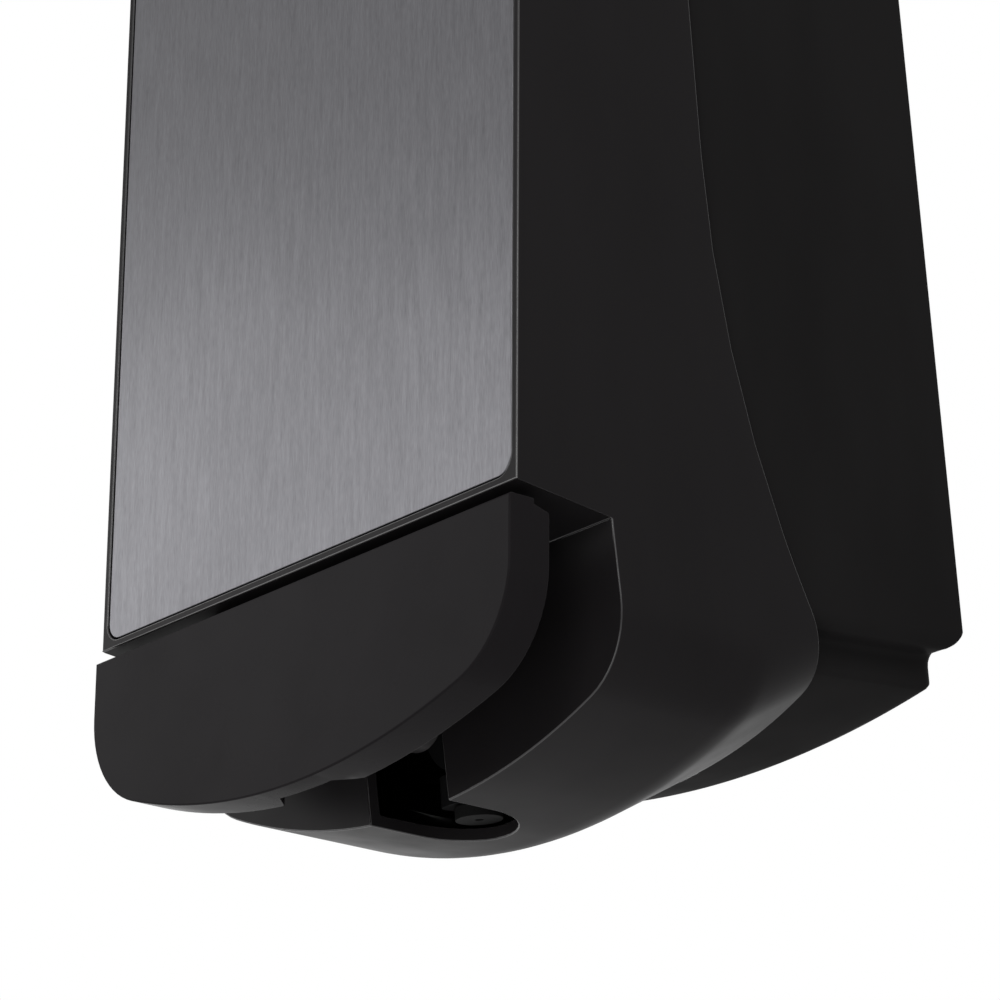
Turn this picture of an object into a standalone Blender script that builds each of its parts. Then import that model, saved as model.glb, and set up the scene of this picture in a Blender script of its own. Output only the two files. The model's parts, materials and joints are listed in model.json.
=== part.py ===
"""Wall soap dispenser with a brushed steel front plate, made of separate pieces.

Lengths are in metres and angles in radians.  X runs across, +Y goes to the wall and +Z is up.
Heights are counted from the foot of the front panel, and depths are negative in front of the wall.
The empty "dispenser" then brings the origin to the middle of the wall plate's back.
"""

import math

import bmesh
import bpy
from mathutils import Matrix, Vector

# Whole dispenser
WIDTH = 0.125
FRONT_DEPTH = 0.1087
FRONT_LEAN = math.radians(5.05)
TOP = 0.215
ORIGIN_ABOVE_FOOT = 0.100
GAP = 0.0003
OVERRUN = 0.004
MERGE_DISTANCE = 0.000002

# Fineness of round shapes, as counts
ROUND_SIDES = 40
SMALL_SIDES = 20
ARC_STEPS = 12
CORNER_STEPS = 5

# Cover: walls, lower bowl, lever recess and the curved rear edge
COVER_WALL = 0.0025
FRONT_WALL = 0.0036
BOWL_CORNER_R = 0.0165
BOWL_ARC_R = 0.140
BOWL_BEND_R = 0.012
BOWL_BEND_SETBACK = 0.0517
BOWL_BEND_DROP = 0.0450
BOWL_FALL = math.radians(4.5)
BOWL_RAMP = math.radians(24.5)
RECESS_DEPTH = 0.0211
RECESS_CEILING_DROP = 0.0039
RECESS_DRAFT = math.radians(3.0)
REAR_EDGE_DEPTH = 0.0586
REAR_ARC_R = 0.208
REAR_ARC_START = 0.070

# Nozzle slot through the recess wall and the bowl
SLOT_HALF_WIDTH = 0.0113
SLOT_END_SETBACK = 0.0342
SLOT_TOP = 0.008
SLOT_FRONT_SETBACK = 0.0167
SLOT_BOTTOM_WALL_TOP = -0.034

# Steel plate and the tape behind it
PLATE_THICKNESS = 0.0008
PLATE_SINK = 0.0002
PLATE_BORDER = 0.0018
PLATE_CORNER_R = 0.0035
TAPE_THICKNESS = 0.0005
TAPE_WIDTH = 0.020
TAPE_INSET = 0.012

# Push lever, its rod and its lugs
LEVER_PROUD = 0.0014
LEVER_DEPTH = 0.009
LEVER_SIDE_SET_BACK = 0.0001
LEVER_TOP = -0.0027
LEVER_LOWEST = -0.0402
LEVER_CORNER_R = 0.020
LEVER_ARC_R = 0.156
LEVER_WALL = 0.0025
LEVER_STEP_DEPTH = 0.0053
LEVER_STEP = 0.001
LEVER_CHAMFER = 0.0018
LEVER_NOTCH_HALF_WIDTH = 0.012
LEVER_NOTCH_DEPTH = 0.0043
LEVER_PIVOT_SETBACK = 0.0107
LEVER_PIVOT_HEIGHT = -0.0095
LEVER_ROD_R = 0.0015
LEVER_ROD_HALF_LENGTH = 0.038
LEVER_EYE_R = 0.004
LEVER_EAR_START = 0.029
LEVER_EAR_END = 0.032
COVER_LUG_END = 0.0365
LUG_SIDE_GAP = 0.001
FINGER_HALF_WIDTH = 0.007
FINGER_TOP = -0.019
FINGER_FOOT = -0.0315
FINGER_REACH = 0.0108

# Cover hinge: rod, curved arms and the lugs that hold the rod
HINGE_BEHIND_EDGE = 0.00895
HINGE_HEIGHT = -0.0224
HINGE_ROD_R = 0.00125
HINGE_ROD_HALF_LENGTH = 0.025
ARM_START = 0.0155
ARM_END = 0.0205
ARM_HUB_R = 0.003
ARM_INNER_R = 0.0082
ARM_OUTER_R = 0.0114
ARM_HUB_FROM = math.radians(10.0)
ARM_HUB_TO = math.radians(-260.0)
ARM_TOP_ANGLE = math.radians(60.0)
ARM_SPOKE_ANGLE = math.radians(40.0)
ARM_FOOT_FRONT = math.radians(-58.0)
ARM_FOOT_REAR = math.radians(-72.0)
HINGE_LUG_R = 0.0032
HINGE_LUG_WIDTH = 0.003
HINGE_LUG_GAP = 0.001

# Back shell: wall plate, side walls, stepped rim under the cover, and the chin
SHELL_SIDE_INSET = 0.0012
SHELL_TOP_INSET = 0.0012
SHELL_BOTTOM = -0.0165
SHELL_WALL = 0.0025
SHELL_EDGE_GAP = 0.0004
RIM_SIDE_GAP = 0.0004
RIM_TOP_GAP = 0.0019
RIM_REACH = 0.0075
RIM_ROOT = 0.002
RIM_BOTTOM_LIFT = 0.0012
CHIN_SIDE_SET_IN = 0.0086
CHIN_LOWEST = -0.0285
CHIN_ARC_R = 0.250
CHIN_CORNER_R = 0.002
CHIN_WALL = 0.002
CHIN_PAST_HINGE = 0.015
CHIN_NOTCH_PAST_HINGE = 0.005
CHIN_NOTCH_GAP = 0.0008
WALL_SCREW_HOLE_R = 0.0025
WALL_SCREW_HALF_SPACING = 0.038
WALL_SCREW_LOW = 0.020
WALL_SCREW_HIGH = 0.195

# Shelf under the tank, with ribs and the bosses for the pump screws
SHELF_TOP = 0.0044
SHELF_THICKNESS = 0.0025
SHELF_SETBACK = 0.0167
SHELF_SIDE_GAP = 0.0024
RIB_HALF_SPACING = 0.031
RIB_THICKNESS = 0.002
RIB_SETBACK = 0.0287
BOSS_R = 0.0035
BOSS_DROP = 0.0041

# Hook on the back shell that the lock's cam catches
HOOK_START = 0.008
HOOK_END = 0.014
HOOK_TOP = 0.208
HOOK_BAR_BOTTOM = 0.205
HOOK_LEG_BOTTOM = 0.197
HOOK_LEG_THICKNESS = 0.0019
HOOK_ROOT = 0.0041

# Lock in the cover's top wall
LOCK_BEFORE_EDGE = 0.0154
LOCK_BARREL_R = 0.005
LOCK_HEAD_R = 0.0065
LOCK_HEAD_HEIGHT = 0.0009
LOCK_BARREL_BOTTOM = 0.203
LOCK_STUD_R = 0.003
LOCK_KEYHOLE_LENGTH = 0.005
LOCK_KEYHOLE_WIDTH = 0.0012
LOCK_KEYHOLE_DEPTH = 0.006
LOCK_NUT_R = 0.007
LOCK_NUT_HEIGHT = 0.003
CAM_THICKNESS = 0.0025
CAM_HALF_WIDTH = 0.003
CAM_HUB_R = 0.0045
CAM_REACH = 0.015
CAM_CATCH_GAP = 0.0006
CAM_SCREW_HEAD_R = 0.004
CAM_SCREW_HEAD_HEIGHT = 0.0015
CAM_SCREW_SHANK_R = 0.0013
CAM_SCREW_LENGTH = 0.005

# Tank, its filler neck and lid, and its outlet spigot
TANK_HALF_WIDTH = 0.046
TANK_FRONT_SETBACK = 0.0287
TANK_REAR_GAP = 0.002
TANK_TOP = 0.156
TANK_WALL = 0.0018
TANK_CORNER_R = 0.008
NECK_SETBACK = 0.0667
NECK_R = 0.020
NECK_HOLE_R = 0.017
NECK_HEIGHT = 0.005
LID_R = 0.021
LID_THICKNESS = 0.0025
LID_PLUG_WALL = 0.0016
LID_PLUG_GAP = 0.0006
LID_PLUG_DEPTH = 0.0025
LID_PIN_BEHIND = 0.0035
LID_PIN_R = 0.001
LID_PIN_HALF_LENGTH = 0.010
LID_EYE_R = 0.0022
LID_TAB_HALF_WIDTH = 0.005
LID_EAR_GAP = 0.001
LID_EAR_WIDTH = 0.003
OUTLET_SETBACK = 0.0547
SPIGOT_R = 0.010
SPIGOT_HOLE_R = 0.0086
SPIGOT_BOTTOM = -0.002
SPIGOT_SIDE_GAP = 0.0005
SEAL_BOTTOM = 0.0
SEAL_HEIGHT = 0.0015

# Pump: cylinder along Y under the shelf, piston, button, spring, valves and screws
PUMP_HEIGHT = -0.024
PUMP_R = 0.0095
PUMP_BORE_R = 0.007
PUMP_FRONT_SETBACK = 0.0377
PUMP_REAR_SETBACK = 0.0627
PUMP_REAR_WALL = 0.003
TOWER_R = 0.007
TOWER_BORE_R = 0.004
TOWER_PORT_R = 0.0022
TOWER_TOP = 0.004
TOWER_SEAT = -0.008
FLANGE_TOP = -0.0026
FLANGE_THICKNESS = 0.0026
FLANGE_HALF_WIDTH = 0.020
FLANGE_HALF_LENGTH = 0.010
FLANGE_CORNER_R = 0.003
PUMP_SCREW_HALF_SPACING = 0.0155
PUMP_SCREW_R = 0.0015
PUMP_SCREW_HEAD_R = 0.0028
PUMP_SCREW_HEAD_HEIGHT = 0.0019
PUMP_SCREW_TIP = 0.0012
GLAND_THICKNESS = 0.0019
GLAND_SPIGOT_LENGTH = 0.003
PISTON_HEAD_R = 0.0065
PISTON_HEAD_LENGTH = 0.0045
PISTON_ROD_R = 0.0025
PISTON_GROOVE_R = 0.0047
PISTON_GROOVE_WIDTH = 0.0015
PISTON_GROOVE_SETBACK = 0.0015
BUTTON_R = 0.007
BUTTON_LENGTH = 0.0054
BUTTON_DOME_R = 0.012
BUTTON_SOCKET_DEPTH = 0.003
SPRING_WIRE_R = 0.0004
SPRING_COIL_R = 0.0046
SPRING_TURNS = 5
SPRING_POINTS_PER_TURN = 14
VALVE_DISC_R = 0.0036
VALVE_DISC_THICKNESS = 0.0008
VALVE_STEM_R = 0.0012
VALVE_STEM_LENGTH = 0.004
SPOUT_HALF_WIDTH = 0.006
SPOUT_FRONT_SETBACK = 0.0347
SPOUT_REAR_SETBACK = 0.0597
SPOUT_HEIGHT = 0.0059
SPOUT_CHANNEL_R = 0.0018
SPOUT_EXIT_SETBACK = 0.0397
SPOUT_NOZZLE_R = 0.0032
SPOUT_NOZZLE_LENGTH = 0.0017
SPOUT_CORNER_R = 0.002
DRIP_VALVE_WALL = 0.001
DRIP_VALVE_FLOOR = 0.0008
DRIP_VALVE_HOLE_R = 0.0008
DRIP_VALVE_SKIRT = 0.0013

def rear_edge_y(z):
    """Depth of the cover's rear edge, which is straight above and arcs to the wall below."""
    below = max(REAR_ARC_START - z, 0)
    return -REAR_EDGE_DEPTH + REAR_ARC_R - math.sqrt(REAR_ARC_R ** 2 - below ** 2)


# Places that follow from the sizes above
HALF_WIDTH = WIDTH / 2
BOWL_BEND_DEPTH = FRONT_DEPTH - BOWL_BEND_SETBACK
SLOT_END_DEPTH = FRONT_DEPTH - SLOT_END_SETBACK
SLOT_FRONT_DEPTH = FRONT_DEPTH - SLOT_FRONT_SETBACK
LEVER_PIVOT_DEPTH = FRONT_DEPTH - LEVER_PIVOT_SETBACK
SHELF_REACH = FRONT_DEPTH - SHELF_SETBACK
RIB_REACH = FRONT_DEPTH - RIB_SETBACK
TANK_FRONT_DEPTH = FRONT_DEPTH - TANK_FRONT_SETBACK
NECK_DEPTH = FRONT_DEPTH - NECK_SETBACK
OUTLET_DEPTH = FRONT_DEPTH - OUTLET_SETBACK
PUMP_FRONT_DEPTH = FRONT_DEPTH - PUMP_FRONT_SETBACK
PUMP_REAR_DEPTH = FRONT_DEPTH - PUMP_REAR_SETBACK
SPOUT_FRONT_DEPTH = FRONT_DEPTH - SPOUT_FRONT_SETBACK
SPOUT_REAR_DEPTH = FRONT_DEPTH - SPOUT_REAR_SETBACK
SPOUT_EXIT_DEPTH = FRONT_DEPTH - SPOUT_EXIT_SETBACK
LEVER_HALF_WIDTH = HALF_WIDTH - LEVER_SIDE_SET_BACK
CHIN_HALF_WIDTH = HALF_WIDTH - CHIN_SIDE_SET_IN
HINGE = Vector((0, rear_edge_y(HINGE_HEIGHT) + HINGE_BEHIND_EDGE, HINGE_HEIGHT))
LEVER_PIVOT = Vector((0, -LEVER_PIVOT_DEPTH, LEVER_PIVOT_HEIGHT))
LOCK_AXIS = Vector((0, -REAR_EDGE_DEPTH - LOCK_BEFORE_EDGE, TOP))
CUT_FLOOR = -BOWL_BEND_DROP - OVERRUN - OVERRUN
PUMP_AXIS = Vector((0, -OUTLET_DEPTH, PUMP_HEIGHT))
TANK_BOTTOM = SHELF_TOP + GAP
NECK_TOP = TANK_TOP + NECK_HEIGHT
LID_BOTTOM = NECK_TOP + GAP
LID_PIN = Vector((0, -NECK_DEPTH + LID_R + LID_PIN_BEHIND, LID_BOTTOM + LID_EYE_R))
BUTTON_FRONT = -LEVER_PIVOT_DEPTH + FINGER_REACH + GAP
BUTTON_REAR = BUTTON_FRONT + BUTTON_LENGTH
GLAND_REAR = -PUMP_FRONT_DEPTH - GAP
PISTON_FRONT = GLAND_REAR + GLAND_SPIGOT_LENGTH + GAP + GAP
PISTON_REAR = PISTON_FRONT + PISTON_HEAD_LENGTH
PUMP_BORE_END = -PUMP_REAR_DEPTH - PUMP_REAR_WALL
FLANGE_BOTTOM = FLANGE_TOP - FLANGE_THICKNESS
SPOUT_TOP = PUMP_HEIGHT - PUMP_R - GAP
SPOUT_BOTTOM = SPOUT_TOP - SPOUT_HEIGHT
CAM_TOP = LOCK_BARREL_BOTTOM - GAP
CAM_BOTTOM = CAM_TOP - CAM_THICKNESS


def clear_scene():
    for old in list(bpy.data.objects):
        bpy.data.objects.remove(old, do_unlink=True)


def solid(name, points, faces):
    """Closed mesh object whose faces point out."""
    mesh = bpy.data.meshes.new(name)
    work = bmesh.new()
    corners = [work.verts.new(point) for point in points]
    for face in faces:
        work.faces.new([corners[index] for index in face])
    bmesh.ops.recalc_face_normals(work, faces=work.faces)
    bmesh.ops.triangulate(work, faces=work.faces)
    work.to_mesh(mesh)
    work.free()
    piece = bpy.data.objects.new(name, mesh)
    bpy.context.scene.collection.objects.link(piece)
    return piece


def lofted(name, rings):
    """Closed solid through rings of equally many points, with flat ends."""
    count = len(rings[0])
    points = [point for ring in rings for point in ring]
    faces = [list(range(count)), list(range(len(points) - count, len(points)))]
    for start in range(0, len(points) - count, count):
        for i in range(count):
            j = (i + 1) % count
            faces.append([start + i, start + j, start + count + j, start + count + i])
    return solid(name, points, faces)


def placed(axis, u, v, t):
    """Point at t along the axis, with u and v across it in X, Y, Z order."""
    if axis == "X":
        return (t, u, v)
    if axis == "Y":
        return (u, t, v)
    return (u, v, t)


def extruded(name, outline, axis, start, end):
    """Outline across an axis, carried along it from start to end."""
    return lofted(name, [[placed(axis, u, v, t) for u, v in outline] for t in (start, end)])


def box(name, low, high):
    outline = [(low[0], low[1]), (high[0], low[1]), (high[0], high[1]), (low[0], high[1])]
    return extruded(name, outline, "Z", low[2], high[2])


def turned(name, profile, axis, centre, sides):
    """Closed profile of (radius, distance along the axis) points, turned round an axis through centre."""
    points = []
    rings = []
    across = {"X": (1, 2, 0), "Y": (0, 2, 1), "Z": (0, 1, 2)}[axis]
    for radius, along in profile:
        count = 1 if radius == 0 else sides
        rings.append([len(points) + i for i in range(count)])
        for i in range(count):
            turn = 2 * math.pi * i / sides
            u = centre[across[0]] + radius * math.cos(turn)
            v = centre[across[1]] + radius * math.sin(turn)
            points.append(placed(axis, u, v, along))
    faces = []
    for ring, following in zip(rings, rings[1:] + rings[:1]):
        if len(ring) == 1 and len(following) == 1:
            continue
        for i in range(sides):
            j = (i + 1) % sides
            corners = [ring[i % len(ring)], ring[j % len(ring)]]
            corners += [following[j % len(following)], following[i % len(following)]]
            faces.append(list(dict.fromkeys(corners)))
    return solid(name, points, faces)


def rod(name, radius, axis, centre, start, end, sides=SMALL_SIDES):
    profile = [(0, start), (radius, start), (radius, end), (0, end)]
    return turned(name, profile, axis, centre, sides)


def tube(name, outer, inner, axis, centre, start, end, sides=SMALL_SIDES):
    profile = [(inner, start), (outer, start), (outer, end), (inner, end)]
    return turned(name, profile, axis, centre, sides)


def clean(mesh):
    """Flat faces only, with no doubled points, so that the next boolean has a sound start."""
    work = bmesh.new()
    work.from_mesh(mesh)
    bmesh.ops.remove_doubles(work, verts=work.verts, dist=MERGE_DISTANCE)
    bmesh.ops.dissolve_degenerate(work, edges=work.edges, dist=MERGE_DISTANCE)
    bmesh.ops.triangulate(work, faces=work.faces)
    work.to_mesh(mesh)
    work.free()


def boolean(piece, tool, operation):
    """Applies a boolean with the tool to the piece and discards the tool."""
    modifier = piece.modifiers.new(tool.name, "BOOLEAN")
    modifier.operation = operation
    modifier.solver = "EXACT"
    modifier.object = tool
    bpy.context.view_layer.update()
    graph = bpy.context.evaluated_depsgraph_get()
    mesh = bpy.data.meshes.new_from_object(piece.evaluated_get(graph))
    clean(mesh)
    piece.modifiers.clear()
    piece.data = mesh
    bpy.data.objects.remove(tool, do_unlink=True)


def join(piece, *tools):
    for tool in tools:
        boolean(piece, tool, "UNION")


def cut(piece, *tools):
    for tool in tools:
        boolean(piece, tool, "DIFFERENCE")


def keep(piece, tool):
    boolean(piece, tool, "INTERSECT")


def rounded_rectangle(half_u, low_v, high_v, radius):
    """Outline that is centred on u = 0, with round corners."""
    middles = [(half_u - radius, low_v + radius), (half_u - radius, high_v - radius)]
    middles += [(-half_u + radius, high_v - radius), (-half_u + radius, low_v + radius)]
    outline = []
    for quarter, (u, v) in enumerate(middles):
        for step in range(CORNER_STEPS + 1):
            turn = math.pi / 2 * (quarter - 1 + step / CORNER_STEPS)
            outline.append((u + radius * math.cos(turn), v + radius * math.sin(turn)))
    return outline


def bowl_outline(half, corner, arc, lowest, top):
    """Flat top, straight sides and a shallow arc below, joined by round corners that are tangent to both."""
    arc_middle = lowest + arc
    corner_u = half - corner
    corner_v = arc_middle - math.sqrt((arc - corner) ** 2 - corner_u ** 2)
    swing = math.atan2(corner_u, arc_middle - corner_v)
    right = []
    for step in range(ARC_STEPS // 2):
        turn = 2 * swing * step / ARC_STEPS
        right.append((arc * math.sin(turn), arc_middle - arc * math.cos(turn)))
    for step in range(CORNER_STEPS + 1):
        turn = swing + (math.pi / 2 - swing) * step / CORNER_STEPS
        right.append((corner_u + corner * math.sin(turn), corner_v - corner * math.cos(turn)))
    right.append((half, top))
    left = [(-u, v) for u, v in reversed(right[1:])]
    return left + right


def arc_points(middle, radius, start, end, steps):
    """Points (y, z) on a circle; angles count from the front, upwards."""
    turns = [start + (end - start) * step / steps for step in range(steps + 1)]
    return [(middle.y - radius * math.cos(turn), middle.z + radius * math.sin(turn)) for turn in turns]


def front_y(z):
    """Depth of the leaning front plane at a height."""
    return -FRONT_DEPTH + z * math.tan(FRONT_LEAN)


def front_frame():
    """Frame on the front plane: X across, Y up along the plane from its foot, Z out of it."""
    up = Vector((0, math.sin(FRONT_LEAN), math.cos(FRONT_LEAN)))
    out = Vector((0, -math.cos(FRONT_LEAN), math.sin(FRONT_LEAN)))
    turn = Matrix(((1, 0, 0), up, out)).transposed().to_4x4()
    return Matrix.Translation((0, -FRONT_DEPTH, 0)) @ turn


def on_front(name, outline, outside, inside):
    """Prism that stands square to the front plane, between two distances out of it."""
    piece = extruded(name, outline, "Z", inside, outside)
    piece.data.transform(front_frame())
    return piece


def ceiling_z(y):
    """Height of the recess ceiling, which falls from the foot of the front to the recess wall."""
    return -(y + FRONT_DEPTH) * RECESS_CEILING_DROP / RECESS_DEPTH


def recess_y(z):
    """Depth of the drafted recess wall behind the lever."""
    return -FRONT_DEPTH + RECESS_DEPTH - (z + RECESS_CEILING_DROP) * math.tan(RECESS_DRAFT)


def rear_edge(low, high, shift):
    """Points (y, z) down the rear edge, moved towards the wall by shift."""
    heights = [low + (REAR_ARC_START - low) * step / ARC_STEPS for step in range(ARC_STEPS + 1)]
    return [(rear_edge_y(z) + shift, z) for z in [high] + heights[::-1]]


def bowl_line(inset):
    """Points (y, z) along the middle of the bowl's floor: gentle fall, bend, and ramp to the wall."""
    radius = BOWL_BEND_R - inset
    middle_y = -BOWL_BEND_DEPTH + BOWL_BEND_R * math.sin(BOWL_FALL)
    middle_z = -BOWL_BEND_DROP + BOWL_BEND_R * math.cos(BOWL_FALL)
    bend = []
    for step in range(CORNER_STEPS + 1):
        turn = -BOWL_FALL + (BOWL_RAMP + BOWL_FALL) * step / CORNER_STEPS
        bend.append((middle_y + radius * math.sin(turn), middle_z - radius * math.cos(turn)))
    front = -FRONT_DEPTH - OVERRUN
    rear = -OVERRUN
    first = (front, bend[0][1] + (bend[0][0] - front) * math.tan(BOWL_FALL))
    last = (rear, bend[-1][1] + (rear - bend[-1][0]) * math.tan(BOWL_RAMP))
    return [first] + bend + [last]


def bowl_block(name, inset, top):
    """Full block with the bowl's underside, set in by a wall."""
    rings = []
    for y, lowest in bowl_line(inset):
        outline = bowl_outline(HALF_WIDTH - inset, BOWL_CORNER_R - inset, BOWL_ARC_R - inset, lowest, top)
        rings.append([(x, y, z) for x, z in outline])
    return lofted(name, rings)


def cover_side(name):
    """Side view of the cover, as a prism wider than the cover."""
    outline = [(front_y(TOP), TOP), (front_y(0), 0), (recess_y(-RECESS_CEILING_DROP), -RECESS_CEILING_DROP)]
    outline += [(recess_y(CUT_FLOOR), CUT_FLOOR)]
    outline += rear_edge(CUT_FLOOR, TOP, 0)[::-1]
    return extruded(name, outline, "X", -HALF_WIDTH - OVERRUN, HALF_WIDTH + OVERRUN)


def cover_inside(name):
    """Side view of the cover's hollow, open to the wall."""
    roof = TOP - COVER_WALL
    inner_front = FRONT_WALL / math.cos(FRONT_LEAN)
    floor_front = COVER_WALL
    floor_rear = ceiling_z(recess_y(0) + COVER_WALL) + COVER_WALL
    outline = [(front_y(roof) + inner_front, roof), (front_y(floor_front) + inner_front, floor_front)]
    outline += [(recess_y(floor_rear) + COVER_WALL, floor_rear), (recess_y(CUT_FLOOR) + COVER_WALL, CUT_FLOOR)]
    outline += [(0, CUT_FLOOR), (0, roof)]
    return extruded(name, outline, "X", -HALF_WIDTH - OVERRUN, HALF_WIDTH + OVERRUN)


def plate_outline(margin):
    """Steel plate seen from the front, made larger all round by a margin."""
    half = HALF_WIDTH - PLATE_BORDER + margin
    high = TOP / math.cos(FRONT_LEAN) - PLATE_BORDER + margin
    return rounded_rectangle(half, PLATE_BORDER - margin, high, PLATE_CORNER_R + margin)


def pocket_depth():
    return PLATE_SINK + PLATE_THICKNESS + GAP + TAPE_THICKNESS + GAP


def ramp_radius(turn):
    """Distance from the hinge axis to the middle of the ramp wall, along an angle below the front."""
    ramp_y, ramp_z = bowl_line(COVER_WALL / 2)[-1]
    square = (ramp_y - HINGE.y) * math.sin(BOWL_RAMP) - (ramp_z - HINGE.z) * math.cos(BOWL_RAMP)
    return square / math.cos(turn + math.pi / 2 + BOWL_RAMP)


def cover_arm(name, side):
    """Curved arm that reaches from the cover's ramp round the chin's edge to the hinge rod."""
    outline = arc_points(HINGE, ARM_OUTER_R, ARM_TOP_ANGLE, ARM_FOOT_FRONT, ARC_STEPS)
    for turn in (ARM_FOOT_FRONT, ARM_FOOT_REAR):
        outline += arc_points(HINGE, ramp_radius(turn), turn, turn, 1)[:1]
    outline += arc_points(HINGE, ARM_INNER_R, ARM_FOOT_REAR, ARM_SPOKE_ANGLE, ARC_STEPS)
    outline += arc_points(HINGE, ARM_HUB_R, ARM_HUB_FROM, ARM_HUB_TO, ARC_STEPS)
    ends = sorted((side * ARM_START, side * ARM_END))
    arm = extruded(name, outline, "X", ends[0], ends[1])
    cut(arm, rod("arm_hole", HINGE_ROD_R + GAP, "X", HINGE, ends[0] - OVERRUN, ends[1] + OVERRUN))
    return arm


def cover_lug(name, side):
    """Lug that hangs from the recess ceiling and holds an end of the lever rod."""
    start = LEVER_EAR_END + LUG_SIDE_GAP
    left = LEVER_PIVOT.y - LEVER_EYE_R
    right = LEVER_PIVOT.y + LEVER_EYE_R
    outline = [(left, ceiling_z(left) + COVER_WALL / 2)]
    outline += arc_points(LEVER_PIVOT, LEVER_EYE_R, 0, -math.pi, ARC_STEPS)
    outline += [(right, ceiling_z(right) + COVER_WALL / 2)]
    ends = sorted((side * start, side * COVER_LUG_END))
    return extruded(name, outline, "X", ends[0], ends[1])


def slot_cutters():
    """Upright opening in the recess wall, and the round-ended slot in the bowl's floor."""
    rear = recess_y(0) + COVER_WALL + OVERRUN
    low = (-SLOT_HALF_WIDTH, -SLOT_FRONT_DEPTH, CUT_FLOOR)
    wall_part = box("wall_slot", low, (SLOT_HALF_WIDTH, rear, SLOT_TOP))
    low = (-SLOT_HALF_WIDTH, rear - OVERRUN, CUT_FLOOR)
    floor_part = box("floor_slot", low, (SLOT_HALF_WIDTH, -SLOT_END_DEPTH, SLOT_BOTTOM_WALL_TOP))
    centre = (0, -SLOT_END_DEPTH, 0)
    end = rod("slot_end", SLOT_HALF_WIDTH, "Z", centre, CUT_FLOOR, SLOT_BOTTOM_WALL_TOP, ROUND_SIDES)
    return wall_part, floor_part, end


def make_front_cover():
    cover = bowl_block("front_cover", 0, TOP + OVERRUN)
    keep(cover, cover_side("side"))
    hollow = bowl_block("hollow", COVER_WALL, TOP)
    keep(hollow, cover_inside("inside"))
    cut(cover, hollow)
    cut(cover, on_front("pocket", plate_outline(GAP), OVERRUN, -pocket_depth()))
    cut(cover, *slot_cutters())
    for side in (-1, 1):
        join(cover, cover_arm("arm", side), cover_lug("lug", side))
    cut(cover, rod("lug_holes", LEVER_ROD_R + GAP, "X", LEVER_PIVOT, -HALF_WIDTH + OVERRUN, HALF_WIDTH - OVERRUN))
    cut(cover, rod("lock_hole", LOCK_BARREL_R + GAP, "Z", LOCK_AXIS, TOP - COVER_WALL - OVERRUN, TOP + OVERRUN))
    return cover


def make_steel_plate():
    return on_front("steel_plate", plate_outline(0), -PLATE_SINK, -PLATE_SINK - PLATE_THICKNESS)


def make_tape(name, side):
    """Strip of tape on the pocket's floor, behind the plate."""
    outside = -PLATE_SINK - PLATE_THICKNESS - GAP
    near = HALF_WIDTH - PLATE_BORDER - TAPE_INSET - TAPE_WIDTH
    low = PLATE_BORDER + TAPE_INSET
    high = TOP - PLATE_BORDER - TAPE_INSET
    xs = sorted((side * near, side * (near + TAPE_WIDTH)))
    outline = [(xs[0], low), (xs[1], low), (xs[1], high), (xs[0], high)]
    return on_front(name, outline, outside, outside - TAPE_THICKNESS)


def lever_body(name, inset, outside, inside):
    outline = bowl_outline(LEVER_HALF_WIDTH - inset, LEVER_CORNER_R - inset, LEVER_ARC_R - inset,
                           LEVER_LOWEST + inset, LEVER_TOP - inset)
    return on_front(name, outline, outside, inside)


def lever_top_cutters(back):
    """Step and chamfer along the top edge behind the face, and the notch in the rim below."""
    wide = LEVER_HALF_WIDTH + OVERRUN
    step_front = LEVER_PROUD - LEVER_STEP_DEPTH
    step = [(back - OVERRUN, LEVER_TOP + OVERRUN), (step_front, LEVER_TOP + OVERRUN)]
    step += [(step_front, LEVER_TOP - LEVER_STEP), (back, LEVER_TOP - LEVER_STEP - LEVER_CHAMFER)]
    step += [(back - OVERRUN, LEVER_TOP - LEVER_STEP - LEVER_CHAMFER)]
    across = lofted("top_step", [[(x, s, d) for d, s in step] for x in (-wide, wide)])
    half = LEVER_NOTCH_HALF_WIDTH
    deep = LEVER_NOTCH_DEPTH
    notch = [(-half, back - OVERRUN), (half, back - OVERRUN), (half, back)]
    notch += [(half - deep, back + deep), (deep - half, back + deep), (-half, back)]
    low = LEVER_LOWEST - OVERRUN
    high = LEVER_LOWEST + LEVER_WALL + OVERRUN
    under = lofted("rim_notch", [[(x, s, d) for x, d in notch] for s in (low, high)])
    for tool in (across, under):
        tool.data.transform(front_frame())
    return across, under


def lever_ear(name, side):
    """Ear behind the lever's face with the eye for the rod."""
    inner_face = -LEVER_WALL / 2 + LEVER_PROUD
    top = front_y(LEVER_PIVOT.z + LEVER_EYE_R / 2) - inner_face
    foot = front_y(LEVER_PIVOT.z - LEVER_EYE_R * 2) - inner_face
    outline = [(top, LEVER_PIVOT.z + LEVER_EYE_R / 2)]
    outline += arc_points(LEVER_PIVOT, LEVER_EYE_R, math.pi / 2, math.pi * 3 / 2, ARC_STEPS)
    outline += [(foot, LEVER_PIVOT.z - LEVER_EYE_R * 2)]
    ends = sorted((side * LEVER_EAR_START, side * LEVER_EAR_END))
    ear = extruded(name, outline, "X", ends[0], ends[1])
    cut(ear, rod("ear_hole", LEVER_ROD_R + GAP, "X", LEVER_PIVOT, ends[0] - OVERRUN, ends[1] + OVERRUN))
    return ear


def lever_finger(name):
    """Solid finger in the middle of the lever, which reaches through the slot to the button."""
    end = LEVER_PIVOT.y + FINGER_REACH
    wall = LEVER_WALL / 2 - LEVER_PROUD
    outline = [(front_y(FINGER_FOOT) + wall, FINGER_FOOT), (front_y(FINGER_TOP) + wall, FINGER_TOP)]
    outline += [(end, FINGER_TOP), (end, FINGER_FOOT)]
    return extruded(name, outline, "X", -FINGER_HALF_WIDTH, FINGER_HALF_WIDTH)


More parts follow.
